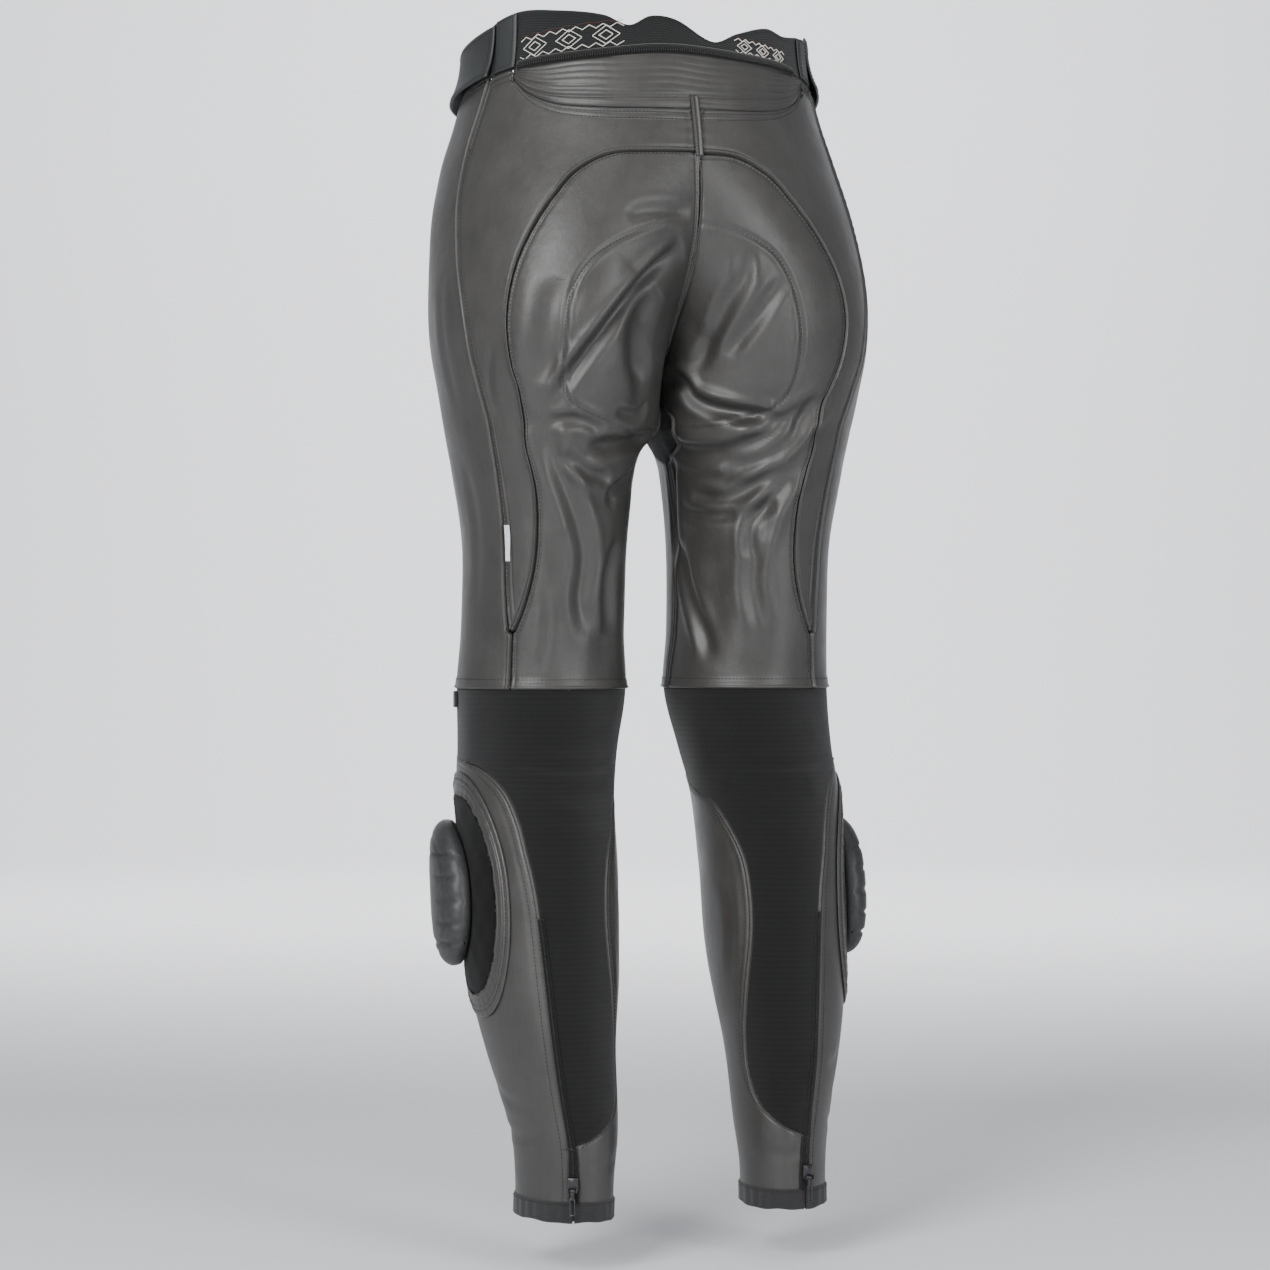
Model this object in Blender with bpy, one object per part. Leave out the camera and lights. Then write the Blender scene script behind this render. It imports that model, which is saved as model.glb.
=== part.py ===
"""Leather motorcycle trousers, hollow and held at the waist as if worn.

Metres, +Z up. The wearer faces -Y and the wearer's left is +X.
The origin is the centre of the waist, at the seam under the waistband.
"""

import math

import bmesh
import bpy
from mathutils import Vector

# Driving heights, from the waist down
WAIST_Z = -0.018
ARCH_Z = -0.098
CROTCH_Z = -0.309
MERGE_Z = -0.487
KNEE_HEM_Z = -0.537
CUFF_TOP_Z = -0.969
CUFF_END_Z = -0.985

# Walls and gaps
LEATHER = 0.0020
KNIT = 0.0016
ELASTIC = 0.0022
HALF_GAP = 0.00015
LIFT = 0.0006
HEM_PROUD = 0.0008

# Rows of the main panels, counted along the seams
TOP_ROWS = 7
SIDE_ROWS = 18
HEM_ROWS = 2
INSEAM_ROWS = 8
SHIN_ROWS = 18

# Sections of the body: height, half width, centre y, front y, back y
BODY = [
    (0.060, 0.1560, 0.000, -0.104, 0.127),
    (0.000, 0.1576, 0.000, -0.105, 0.130),
    (-0.040, 0.1660, 0.001, -0.109, 0.139),
    (-0.080, 0.1790, 0.004, -0.112, 0.151),
    (-0.120, 0.1890, 0.013, -0.113, 0.161),
    (-0.160, 0.1940, 0.024, -0.112, 0.167),
    (-0.200, 0.1965, 0.033, -0.106, 0.169),
    (-0.240, 0.1945, 0.036, -0.097, 0.164),
    (-0.280, 0.1880, 0.035, -0.086, 0.152),
    (-0.309, 0.1830, 0.033, -0.078, 0.142),
    (-0.345, 0.1757, 0.031, -0.070, 0.132),
    (-0.415, 0.1655, 0.030, -0.063, 0.120),
    (-0.485, 0.1660, 0.026, -0.061, 0.111),
    (-0.538, 0.1690, 0.024, -0.062, 0.105),
    (-0.590, 0.1700, 0.033, -0.058, 0.111),
    (-0.635, 0.1715, 0.045, -0.050, 0.123),
    (-0.694, 0.1700, 0.057, -0.040, 0.134),
    (-0.779, 0.1690, 0.066, -0.016, 0.142),
    (-0.846, 0.1584, 0.081, 0.012, 0.147),
    (-0.914, 0.1420, 0.095, 0.040, 0.151),
    (-0.950, 0.1385, 0.097, 0.045, 0.149),
    (-0.990, 0.1385, 0.097, 0.046, 0.148),
]

# Inner side of each leg: height, distance from the middle plane
INNER_LEG = [
    (-0.309, 0.0000),
    (-0.325, 0.0130),
    (-0.345, 0.0200),
    (-0.415, 0.0265),
    (-0.485, 0.0270),
    (-0.538, 0.0240),
    (-0.590, 0.0350),
    (-0.635, 0.0430),
    (-0.694, 0.0450),
    (-0.779, 0.0485),
    (-0.846, 0.0564),
    (-0.914, 0.0593),
    (-0.950, 0.0635),
    (-0.990, 0.0650),
]

# How far the halves have parted above the crotch: height, front, back
PARTING = [
    (0.060, 0.00, 0.000),
    (-0.060, 0.00, 0.000),
    (-0.100, 0.00, 0.100),
    (-0.140, 0.05, 0.360),
    (-0.180, 0.30, 0.680),
    (-0.215, 0.60, 0.880),
    (-0.250, 0.84, 0.965),
    (-0.280, 0.95, 0.990),
    (-0.309, 1.00, 1.000),
]

# Stance: height, toes turned out in degrees, rise of the section to the back
STANCE = [
    (0.060, 0.0, 0.22),
    (0.000, 0.0, 0.22),
    (-0.100, 0.0, 0.12),
    (-0.200, 0.0, 0.00),
    (-0.450, 0.0, 0.00),
    (-0.600, 5.0, 0.00),
    (-0.780, 12.0, 0.00),
    (-0.930, 15.0, 0.00),
    (-0.990, 15.0, 0.00),
]

# The right leg's seams sit further back: height, degrees
RIGHT_TURN = [
    (0.060, 8.0),
    (-0.050, 10.0),
    (-0.100, 15.0),
    (-0.200, 18.0),
    (-0.350, 22.0),
    (-0.450, 22.0),
    (-0.537, 14.0),
    (-0.990, 12.0),
]

# Seams, on the wearer's left: angle from the outer side (90 is the back), height
SIDE_SEAM = [
    (20, WAIST_Z), (18, -0.055), (17, -0.100), (18, -0.140), (20, -0.175), (24, -0.214),
    (28, -0.262), (34, -0.306), (37, -0.350), (38, -0.395), (38, -0.440), (42, MERGE_Z),
]
ARCH_SEAM = [
    (90, ARCH_Z), (74, -0.0990), (66, -0.1020), (60, -0.1130), (56, -0.1310), (52, -0.1510),
    (49, -0.1720), (47, -0.1940), (46, -0.2270), (48, -0.2610), (52, -0.2880), (56, -0.3300),
    (60, -0.3550), (62, -0.3820), (60, -0.4290), (54, -0.4636), (47, MERGE_Z),
]
# The seat's top corner is cut off by at most this much in degrees, and in height, under the back strip
CORNER_TURN, CORNER_DROP = 1.8, 0.0016
HEM_SEAM = [(45, MERGE_Z - 0.002), (45, KNEE_HEM_Z)]
LUMBAR_EDGE = [(90, -0.064), (68, -0.063), (50, -0.056), (40, -0.045), (33, -0.030), (31, -0.024)]
GUSSET_BACK_Z, GUSSET_FRONT_Z = -0.288, -0.236
GUSSET_BACK_EDGE = [(169, -0.2900), (162, -0.296), (160, -0.306), (165, -0.322), (180, -0.338)]
GUSSET_FRONT_EDGE = [(180, -0.338), (197, -0.330), (213, -0.312), (226, -0.285), (231, -0.258), (226, -0.2390)]
GUSSET_ROWS = 7
KNIT_OUTER = [
    (-45, KNEE_HEM_Z), (-44, -0.588), (-30, -0.596), (0, -0.600), (16, -0.604), (34, -0.618),
    (44, -0.643), (48, -0.672), (52, -0.705), (54, -0.730), (56, -0.780), (56, -0.840),
    (54, -0.898), (55, -0.921),
]
KNIT_INNER = [
    (225, KNEE_HEM_Z), (222, -0.585), (212, -0.602), (190, -0.616), (168, -0.626), (142, -0.637),
    (126, -0.660), (114, -0.690), (110, -0.740), (115, -0.785), (127, -0.840), (127, -0.868),
    (112, -0.896), (80, -0.914), (59, -0.920),
]
ZIP_LOW = [(56, -0.923), (58, CUFF_TOP_Z)]
SHIN_OUTER = [(-50, -0.592), (-60, -0.620), (-67, -0.665), (-68, -0.750), (-68, CUFF_TOP_Z)]
SHIN_INNER = [(222, -0.590), (219, -0.640), (216, -0.720), (214, CUFF_TOP_Z)]

# Top edge of the elastic: degrees from the centre back to the wearer's left, height
BAND_TOP = [
    (-72, 0.023), (-56, 0.022), (-40, 0.012), (-31, 0.013), (-18, 0.002), (-8, -0.008),
    (4, 0.008), (12, 0.011), (19, 0.004), (27, 0.014), (42, 0.023), (58, 0.031), (72, 0.028),
]
FRONT_BAND_TOP = 0.024
BAND_END = 70

# Folds: side (0 is both), three points as angle and height, width, depth (a ridge is negative)
FOLDS = [
    (1, 118, -0.165, 106, -0.202, 78, -0.285, 0.013, 0.0060),
    (1, 100, -0.185, 92, -0.215, 84, -0.245, 0.020, -0.0035),
    (1, 122, -0.200, 120, -0.240, 124, -0.300, 0.013, 0.0060),
    (1, 150, -0.318, 112, -0.336, 80, -0.332, 0.013, 0.0050),
    (1, 160, -0.352, 120, -0.368, 92, -0.372, 0.012, 0.0032),
    (1, 78, -0.400, 84, -0.460, 88, -0.530, 0.014, 0.0030),
    (1, 122, -0.410, 116, -0.470, 112, -0.530, 0.014, 0.0028),
    (-1, 168, -0.311, 118, -0.296, 74, -0.287, 0.013, 0.0052),
    (-1, 170, -0.330, 140, -0.354, 92, -0.355, 0.013, 0.0050),
    (-1, 160, -0.372, 130, -0.382, 100, -0.378, 0.012, 0.0030),
    (-1, 148, -0.215, 140, -0.240, 142, -0.262, 0.012, 0.0030),
    (-1, 112, -0.410, 106, -0.470, 104, -0.530, 0.014, 0.0028),
    (-1, 146, -0.400, 140, -0.450, 140, -0.520, 0.014, 0.0026),
    (0, -140, -0.262, -104, -0.238, -62, -0.226, 0.014, 0.0055),
    (0, -150, -0.300, -112, -0.290, -72, -0.286, 0.013, 0.0040),
    (0, -100, -0.180, -84, -0.196, -56, -0.196, 0.013, 0.0030),
    (0, -112, -0.400, -104, -0.450, -100, -0.520, 0.015, 0.0030),
    (0, -50, -0.360, -44, -0.430, -50, -0.500, 0.015, 0.0030),
    (0, 60, -0.576, 100, -0.584, 150, -0.578, 0.012, 0.0030),
    (0, 70, -0.622, 105, -0.628, 140, -0.618, 0.012, 0.0026),
    (0, -130, -0.585, -100, -0.592, -70, -0.585, 0.013, 0.0035),
    (0, -128, -0.800, -100, -0.815, -78, -0.806, 0.013, 0.0030),
    (0, 70, -0.870, 90, -0.876, 110, -0.872, 0.012, 0.0018),
]

# Knee, on the wearer's left: angle and height of the middle, half sizes along and up
KNEE_ANGLE, KNEE_Z = -16, -0.713
# The puck's middle lies further round to the front than the patch's, in degrees
PUCK_FORWARD = 20
BAND_HALF = (0.077, 0.104)
PATCH_HALF = (0.058, 0.084)
PUCK_HALF = (0.048, 0.062)
BAND_THICK, PATCH_THICK, PUCK_THICK = 0.0014, 0.0012, 0.024
# Puck's section: share of the size, share of the thickness
PUCK_DOME = [(0.25, 1.0), (0.62, 0.96), (0.86, 0.80), (1.0, 0.34)]

# Cuff: wall, how far it stands proud, half of its slit in degrees
CUFF_THICK, CUFF_PROUD, SLIT_HALF = 0.0028, 0.0008, 1.2

# Calf zip: chain, slider body (width, height, thickness) and pull
ZIP_TOP_Z = -0.727
ZIP_HALF_WIDTH, ZIP_THICK = 0.0045, 0.0016
SLIDER_Z = -0.952
SLIDER_SIZE = (0.0095, 0.0120, 0.0026)
EAR_SIZE = (0.0012, 0.0036, 0.0036)
PULL_SIZE = (0.0050, 0.0215, 0.0012)
PIN_RADIUS, EYE_RADIUS = 0.0006, 0.0009
BARREL_RADIUS, BARREL_LENGTH = 0.0014, 0.0054
RUNNING_GAP = 0.0003

# Waist: gathers of the lumbar panel, tabs as angle from and to on the left
GATHERS, GATHER_DEPTH = 8, 0.0007
ZIP_TAPE_HEIGHT, TAPE_TURNS = 0.009, (56.5, -42.5)
PATCH_ANGLES, STRAP_ANGLES = (22.5, 32.0), (-26.0, 21.5)
STRAP_LOW, STRAP_HIGH, STRAP_STAND = -0.020, 0.026, 0.006
STRIP_LOW_Z, STRIP_HIGH_Z, STRIP_HALF = -0.101, -0.055, 0.0040
FLY_LOW_Z, FLY_WIDTH = -0.172, 0.038
# Share of the flap's width at its heights, from the waist down
FLY_SHARES = (1, 1, 1, 1, 1, 1, 0.92, 0.74, 0.42)
BUTTON_RADIUS, BUTTON_THICK = 0.0085, 0.0034
LABEL_ANGLE, LABEL_HIGH_Z, LABEL_SIZE = 39.6, -0.396, (0.0052, 0.031)
TAB_ANGLES, TAB_HEIGHTS = (-20.0, -13.0), (-0.5390, -0.5530)

# Materials: colour, roughness, metallic
COLOURS = {
    "leather": ((0.115, 0.108, 0.100), 0.45, 0.0),
    "knit": ((0.020, 0.020, 0.021), 0.90, 0.0),
    "elastic": ((0.026, 0.028, 0.028), 0.85, 0.0),
    "binding": ((0.045, 0.045, 0.046), 0.80, 0.0),
    "velcro": ((0.014, 0.014, 0.015), 0.95, 0.0),
    "puck": ((0.040, 0.041, 0.043), 0.50, 0.0),
    "label": ((0.80, 0.80, 0.82), 0.70, 0.0),
    "zip": ((0.030, 0.030, 0.031), 0.40, 0.0),
    "metal": ((0.25, 0.25, 0.26), 0.35, 1.0),
}


# Tables and curves


def row_at(table, height):
    """Values of a table at a height: a smooth curve through its rows, top to bottom."""
    if height >= table[0][0]:
        return table[0][1:]
    if height <= table[-1][0]:
        return table[-1][1:]
    k = 0
    while table[k + 1][0] > height:
        k += 1
    upper, lower = table[k], table[k + 1]
    span = lower[0] - upper[0]
    t = (height - upper[0]) / span
    before = table[k - 1] if k > 0 else None
    after = table[k + 2] if k + 2 < len(table) else None
    values = []
    for c in range(1, len(upper)):
        p0, p1 = upper[c], lower[c]
        m0 = (p1 - before[c]) / (lower[0] - before[0]) * span if before else p1 - p0
        m1 = (after[c] - p0) / (after[0] - upper[0]) * span if after else p1 - p0
        h1 = t * t * (3 - 2 * t)
        values.append((1 - h1) * p0 + h1 * p1 + t * (1 - t) * ((1 - t) * m0 - t * m1))
    return values


def curve_point(points, s):
    """Point at parameter s of a smooth curve through (angle, height) points."""
    k = min(int(s), len(points) - 2)
    t = s - k
    p0, p1 = Vector(points[k]), Vector(points[k + 1])
    m0 = (p1 - Vector(points[k - 1])) / 2 if k > 0 else p1 - p0
    m1 = (Vector(points[k + 2]) - p0) / 2 if k + 2 < len(points) else p1 - p0
    h1 = t * t * (3 - 2 * t)
    return p0 * (1 - h1) + p1 * h1 + (m0 * (1 - t) - m1 * t) * (t * (1 - t))


def seam(side, points, rows, turned=True):
    """A seam as rows + 1 (angle, height) pairs, evenly spaced along the cloth."""
    steps = 16 * (len(points) - 1)
    fine = [curve_point(points, i * (len(points) - 1) / steps) for i in range(steps + 1)]
    metre_per_degree = 0.0016
    length = [0.0]
    for a, b in zip(fine, fine[1:]):
        length.append(length[-1] + math.hypot((b[0] - a[0]) * metre_per_degree, b[1] - a[1]))
    result = []
    k = 0
    for i in range(rows + 1):
        want = length[-1] * i / rows
        while k < steps - 1 and length[k + 1] < want:
            k += 1
        t = (want - length[k]) / (length[k + 1] - length[k])
        angle, height = fine[k].lerp(fine[k + 1], min(1.0, t))
        if side < 0 and turned:
            angle += row_at(RIGHT_TURN, height)[0]
        result.append((angle, height))
    return result


def middle_edge(height, front):
    """Angle at which the half section meets the middle plane."""
    if height <= CROTCH_Z:
        return 180.0
    parting = row_at(PARTING, height)[0 if front else 1]
    return math.degrees(math.acos(-min(1.0, max(0.0, parting))))


# The cloth's surface


def base_point(side, angle, height):
    """Point of the smooth body, with no folds. side is 1 on the wearer's left."""
    angle = (angle + 180.0) % 360.0 - 180.0
    half_width, centre, front_y, back_y = row_at(BODY, height)
    toes_out, rise = row_at(STANCE, height)
    front = angle < 0
    if height <= CROTCH_Z:
        inner = row_at(INNER_LEG, height)[0]
        radius = (half_width - inner) / 2
        middle = (half_width + inner) / 2
    else:
        parting = min(1.0, max(0.0, row_at(PARTING, height)[0 if front else 1]))
        radius = half_width / (1 + parting)
        middle = half_width * parting / (1 + parting)
    depth = centre - front_y if front else back_y - centre
    a = math.radians(angle)
    dx, dy = radius * math.cos(a), depth * math.sin(a)
    twist = math.radians(toes_out)
    x = middle + dx * math.cos(twist) - dy * math.sin(twist)
    y = centre + dx * math.sin(twist) + dy * math.cos(twist)
    return Vector((side * x, y, height + rise * (y - centre)))


def base_normal(side, angle, height):
    """Outward normal of the smooth body."""
    step_a, step_z = 1.0, 0.003
    along = base_point(side, angle + step_a, height) - base_point(side, angle - step_a, height)
    down = base_point(side, angle, height - step_z) - base_point(side, angle, height + step_z)
    return (down.cross(along) * side).normalized()


def fold_lines():
    """Each fold as sample points on the cloth, with its width and depth."""
    lines = []
    for side, a0, z0, a1, z1, a2, z2, width, depth in FOLDS:
        for one in ((1, -1) if side == 0 else (side,)):
            samples = []
            for k in range(17):
                t = k / 16
                u, v, w = (1 - t) ** 2, 2 * t * (1 - t), t * t
                angle = u * a0 + v * (2 * a1 - (a0 + a2) / 2) + w * a2
                height = u * z0 + v * (2 * z1 - (z0 + z2) / 2) + w * z2
                samples.append((base_point(one, angle, height), math.sin(math.pi * t) ** 0.6))
            middle = samples[8][0]
            reach = max((p - middle).length for p, _ in samples) + 3 * width
            lines.append((one, samples, middle, reach, width, depth))
    return lines


FOLD_LINES = fold_lines()


def fold_depth(side, point):
    """How far the folds push the cloth in at a point."""
    total = 0.0
    for one, samples, middle, reach, width, depth in FOLD_LINES:
        if one != side or (point - middle).length > reach:
            continue
        best, taper = min(((point - p).length_squared, w) for p, w in samples)
        total += depth * taper * math.exp(-best / width ** 2)
    return total


def cloth(side, angle, height, lift=0.0):
    """Point of the folded cloth, lifted outwards, and the way out."""
    point = base_point(side, angle, height)
    normal = base_normal(side, angle, height)
    return point + normal * (lift - fold_depth(side, point)), normal


# Building solids


def material(name):
    """Principled material of one finish."""
    if name in bpy.data.materials:
        return bpy.data.materials[name]
    colour, roughness, metallic = COLOURS[name]
    made = bpy.data.materials.new(name)
    made.use_nodes = True
    shader = made.node_tree.nodes["Principled BSDF"]
    shader.inputs["Base Color"].default_value = (*colour, 1.0)
    shader.inputs["Roughness"].default_value = roughness
    shader.inputs["Metallic"].default_value = metallic
    return made


def add_object(name, finish, mesh_maker):
    """Object in the part's collection from a bmesh."""
    mesh = bpy.data.meshes.new(name)
    mesh_maker.to_mesh(mesh)
    mesh_maker.free()
    made = bpy.data.objects.new(name, mesh)
    made.data.materials.append(material(finish))
    bpy.data.collections["motorcycle_trousers"].objects.link(made)
    return made


def keep_to_side(point, side):
    """Point held clear of the middle plane on its own side."""
    point.x = side * max(side * point.x, HALF_GAP)


def edge_shift(points, normals, inside):
    """Small step into the panel for each point of an edge."""
    shifts = []
    count = len(points)
    middle = count // 2
    ahead = points[min(middle + 1, count - 1)] - points[middle - 1]
    sign = 1 if normals[middle].cross(ahead).dot(inside[middle] - points[middle]) > 0 else -1
    for i in range(count):
        tangent = points[min(i + 1, count - 1)] - points[max(i - 1, 0)]
        shifts.append(normals[i].cross(tangent).normalized() * (sign * HALF_GAP))
    return shifts


def wall_from_grid(name, finish, outer, normals, thick, side=0, tight=(1, 1, 1, 1)):
    """Closed wall from a grid of outer points.

    tight says which edges meet a seam: first row, last row, first column, last column.
    """
    rows, cols = len(outer), len(outer[0])
    moved = [[point.copy() for point in row] for row in outer]
    columns = list(zip(*outer))
    normal_columns = list(zip(*normals))
    edges = [
        (outer[0], normals[0], outer[1], [(0, j) for j in range(cols)]),
        (outer[-1], normals[-1], outer[-2], [(rows - 1, j) for j in range(cols)]),
        (columns[0], normal_columns[0], columns[1], [(i, 0) for i in range(rows)]),
        (columns[-1], normal_columns[-1], columns[-2], [(i, cols - 1) for i in range(rows)]),
    ]
    for wanted, (points, edge_normals, inside, places) in zip(tight, edges):
        if wanted:
            for (i, j), shift in zip(places, edge_shift(points, edge_normals, inside)):
                moved[i][j] += shift
    maker = bmesh.new()
    layers = []
    for depth in (0.0, thick):
        layer = []
        for i in range(rows):
            line = []
            for j in range(cols):
                point = moved[i][j] - normals[i][j] * depth
                if side:
                    keep_to_side(point, side)
                line.append(maker.verts.new(point))
            layer.append(line)
        layers.append(layer)
    top, bottom = layers
    for i in range(rows - 1):
        for j in range(cols - 1):
            maker.faces.new((top[i][j], top[i + 1][j], top[i + 1][j + 1], top[i][j + 1]))
            maker.faces.new((bottom[i][j], bottom[i][j + 1], bottom[i + 1][j + 1], bottom[i + 1][j]))
    ring = [(i, 0) for i in range(rows)] + [(rows - 1, j) for j in range(1, cols)]
    ring += [(i, cols - 1) for i in range(rows - 2, -1, -1)] + [(0, j) for j in range(cols - 2, 0, -1)]
    for (i, j), (k, m) in zip(ring, ring[1:] + ring[:1]):
        maker.faces.new((top[i][j], bottom[i][j], bottom[k][m], top[k][m]))
    bmesh.ops.recalc_face_normals(maker, faces=maker.faces)
    return add_object(name, finish, maker)


def panel(name, finish, side, first, last, cols, thick=LEATHER, lift=0.0, tight=(1, 1, 1, 1)):
    """Wall between two seams; lift is a number or a function of the row's and the column's share."""
    outer, normals = [], []
    for i, (start, end) in enumerate(zip(first, last)):
        row, row_normals = [], []
        for j in range(cols + 1):
            t = j / cols
            angle = start[0] + (end[0] - start[0]) * t
            height = start[1] + (end[1] - start[1]) * t
            proud = lift(i / (len(first) - 1), t) if callable(lift) else lift
            point, normal = cloth(side, angle, height, proud)
            row.append(point)
            row_normals.append(normal)
        outer.append(row)
        normals.append(row_normals)
    return wall_from_grid(name, finish, outer, normals, thick, side, tight)


def round_patch(name, finish, side, angle, height, rings, spokes, lift, power=2.4):
    """Rounded patch lying on the cloth, as rings of (half width, half height, thickness).

    The first ring is the middle one; where it isn't small the patch is an open band.
    """
    across = (base_point(side, angle + 1, height) - base_point(side, angle - 1, height)).length / 2
    maker = bmesh.new()

    def ring_points(width, tall, out):
        line = []
        for k in range(spokes):
            a = 2 * math.pi * k / spokes
            c, s = math.cos(a), math.sin(a)
            u = math.copysign(abs(c) ** (2 / power), c) * width
            v = math.copysign(abs(s) ** (2 / power), s) * tall
            point, _ = cloth(side, angle + u / across, height + v, lift + out)
            line.append(maker.verts.new(point))
        return line

    top = [ring_points(width, tall, thick) for width, tall, thick in rings]
    under = [ring_points(width, tall, 0.0) for width, tall, _ in reversed(rings)]
    loops = top + under
    is_band = rings[0][0] > 0.5 * rings[-1][0]
    if is_band:
        loops.append(top[0])
    for line, following in zip(loops, loops[1:]):
        for k in range(spokes):
            n = (k + 1) % spokes
            maker.faces.new((line[k], line[n], following[n], following[k]))
    if not is_band:
        maker.faces.new(top[0])
        maker.faces.new(under[-1][::-1])
    bmesh.ops.recalc_face_normals(maker, faces=maker.faces)
    return add_object(name, finish, maker)


def scaled_rings(half, thick, profile):
    """Rings of one outline: profile is (share of the size, share of the thickness)."""
    return [(half[0] * share, half[1] * share, thick * level) for share, level in profile]


# Pieces of one leg


def side_name(side):
    return "left" if side > 0 else "right"


def middle_line(heights, front):
    """Edge on the middle plane at each height."""
    sign = -1 if front else 1
    return [(sign * middle_edge(z, front), z) for z in heights]


def even(start, end, count):
    """count + 1 values from start to end."""
    return [start + (end - start) * i / count for i in range(count + 1)]


def hem_lift(row, _across):
    """Leather turned under at the knee hem stands a little proud of the knit."""
    return HEM_PROUD * max(0.0, (row - 0.9) / 0.1)


def upper_leg(side):
    """Front, yoke with side strip, seat and gusset of one half."""
    name = side_name(side)
    side_line = seam(side, SIDE_SEAM, SIDE_ROWS)
    arch_line = seam(side, ARCH_SEAM, TOP_ROWS + SIDE_ROWS)
    arch_line[0] = (middle_edge(ARCH_Z, False), ARCH_Z)
    hem_line = seam(side, HEM_SEAM, HEM_ROWS)
    lumbar_line = lumbar_edge(side)
    yoke_top = lumbar_line + [(lumbar_line[-1][0] - 0.5, WAIST_Z)]
    panel(f"yoke_side_{name}", "leather", side, yoke_top + side_line, arch_line, 3)

    back_gusset = seam(side, GUSSET_BACK_EDGE, GUSSET_ROWS, turned=False)
    gusset_line = back_gusset + seam(side, GUSSET_FRONT_EDGE, GUSSET_ROWS, turned=False)[1:]
    front_gusset = [(a - 360, z) for a, z in reversed(gusset_line[GUSSET_ROWS:])]
    back_rows = len(arch_line) + len(hem_line)
    centre_rows = back_rows - INSEAM_ROWS - len(back_gusset)
    rise = middle_line(even(ARCH_Z - CORNER_DROP, GUSSET_BACK_Z, centre_rows - 1), False)
    inseam = [(180.0, z) for z in even(back_gusset[-1][1], KNEE_HEM_Z, INSEAM_ROWS)[1:]]
    seat_edge = rise + back_gusset + inseam
    corner_turn = min(CORNER_TURN, (arch_line[0][0] - arch_line[1][0]) / 2)
    seat_side = [(arch_line[0][0] - corner_turn, ARCH_Z)] + arch_line[1:] + hem_line
    panel(f"seat_{name}", "leather", side, seat_edge, seat_side, 7, lift=hem_lift)

    front_rows = len(side_line) + len(hem_line)
    centre_rows = front_rows - INSEAM_ROWS - len(front_gusset)
    rise = middle_line(even(WAIST_Z, GUSSET_FRONT_Z, centre_rows - 1), True)
    inseam = [(-180.0, z) for z in even(front_gusset[-1][1], KNEE_HEM_Z, INSEAM_ROWS)[1:]]
    front_edge = rise + front_gusset + inseam
    panel(f"front_{name}", "leather", side, front_edge, side_line + hem_line, 10, lift=hem_lift)

    back_mid = middle_line(even(GUSSET_BACK_Z, CROTCH_Z, GUSSET_ROWS), False)
    front_mid = [(360 + a, z) for a, z in middle_line(even(CROTCH_Z, GUSSET_FRONT_Z, GUSSET_ROWS), True)]
    panel(f"gusset_{name}", "knit", side, back_mid + front_mid[1:], gusset_line, 3, KNIT)


def lumbar_edge(side):
    """Lower edge of the gathered panel, from the centre back outwards."""
    line = seam(side, LUMBAR_EDGE, TOP_ROWS - 2)
    line[0] = (90.0, LUMBAR_EDGE[0][1])
    return line


def lower_leg(side):
    """Knit, calf and shin panels, cuff and the knee's patch, band and puck."""
    name = side_name(side)
    outer_line = seam(side, KNIT_OUTER, SHIN_ROWS)
    inner_line = seam(side, KNIT_INNER, SHIN_ROWS)
    panel(f"knit_calf_{name}", "knit", side, outer_line, inner_line, 11, KNIT)

    zip_line = seam(side, ZIP_LOW, 2)
    start = 2
    outer_rear = outer_line[start:] + zip_line
    calf_zip(side, outer_rear)
    shin_line = seam(side, SHIN_OUTER, len(outer_rear) - 1)
    shin_line[0] = (outer_rear[0][0] - 6, outer_rear[0][1] - 0.001)
    panel(f"calf_outer_{name}", "leather", side, shin_line, outer_rear, 11)

    inner_rear = inner_line[start:] + zip_line
    inner_front = seam(side, SHIN_INNER, len(inner_rear) - 1)
    inner_front[0] = (inner_rear[0][0] + 5, inner_rear[0][1] - 0.001)
    panel(f"calf_inner_{name}", "leather", side, inner_rear, inner_front, 6)

    front_outer = outer_line[:start + 1] + shin_line
    front_inner = [(a - 360, z) for a, z in inner_line[:start + 1] + inner_front]
    panel(f"shin_{name}", "leather", side, front_inner, front_outer, 5)

    slit = zip_line[-1][0]
    around = even(slit + SLIT_HALF, slit + 360 - SLIT_HALF, 22)
    top = [(a, CUFF_TOP_Z) for a in around]
    bottom = [(a, CUFF_END_Z) for a in around]
    panel(f"cuff_{name}", "binding", side, top, bottom, 1, CUFF_THICK, lift=CUFF_PROUD,
          tight=(0, 0, 1, 0))

    turn = row_at(RIGHT_TURN, KNEE_Z)[0] if side < 0 else 0
    angle = KNEE_ANGLE + turn
    opening = [half + 2 * HALF_GAP for half in PATCH_HALF]
    band = [(*opening, BAND_THICK), (*BAND_HALF, BAND_THICK)]
    round_patch(f"knee_band_{name}", "leather", side, angle, KNEE_Z, band, 28, LIFT)
    patch = scaled_rings(PATCH_HALF, PATCH_THICK, [(0.22, 1), (0.6, 1), (1.0, 1)])
    round_patch(f"knee_patch_{name}", "velcro", side, angle, KNEE_Z, patch, 28, LIFT)
    puck = scaled_rings(PUCK_HALF, PUCK_THICK, PUCK_DOME)
    round_patch(f"knee_slider_{name}", "puck", side, angle - PUCK_FORWARD, KNEE_Z, puck, 24, 2 * LIFT + PATCH_THICK)


# Calf zip


def local_frame(side, angle, height, lift):
    """Point on the cloth with its way out, its way down and the line across."""
    point, normal = cloth(side, angle, height, lift)
    out = Vector((normal.x, normal.y, 0.0)).normalized()
    down = Vector((0.0, 0.0, -1.0))
    return point, out, down, down.cross(out)


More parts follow.
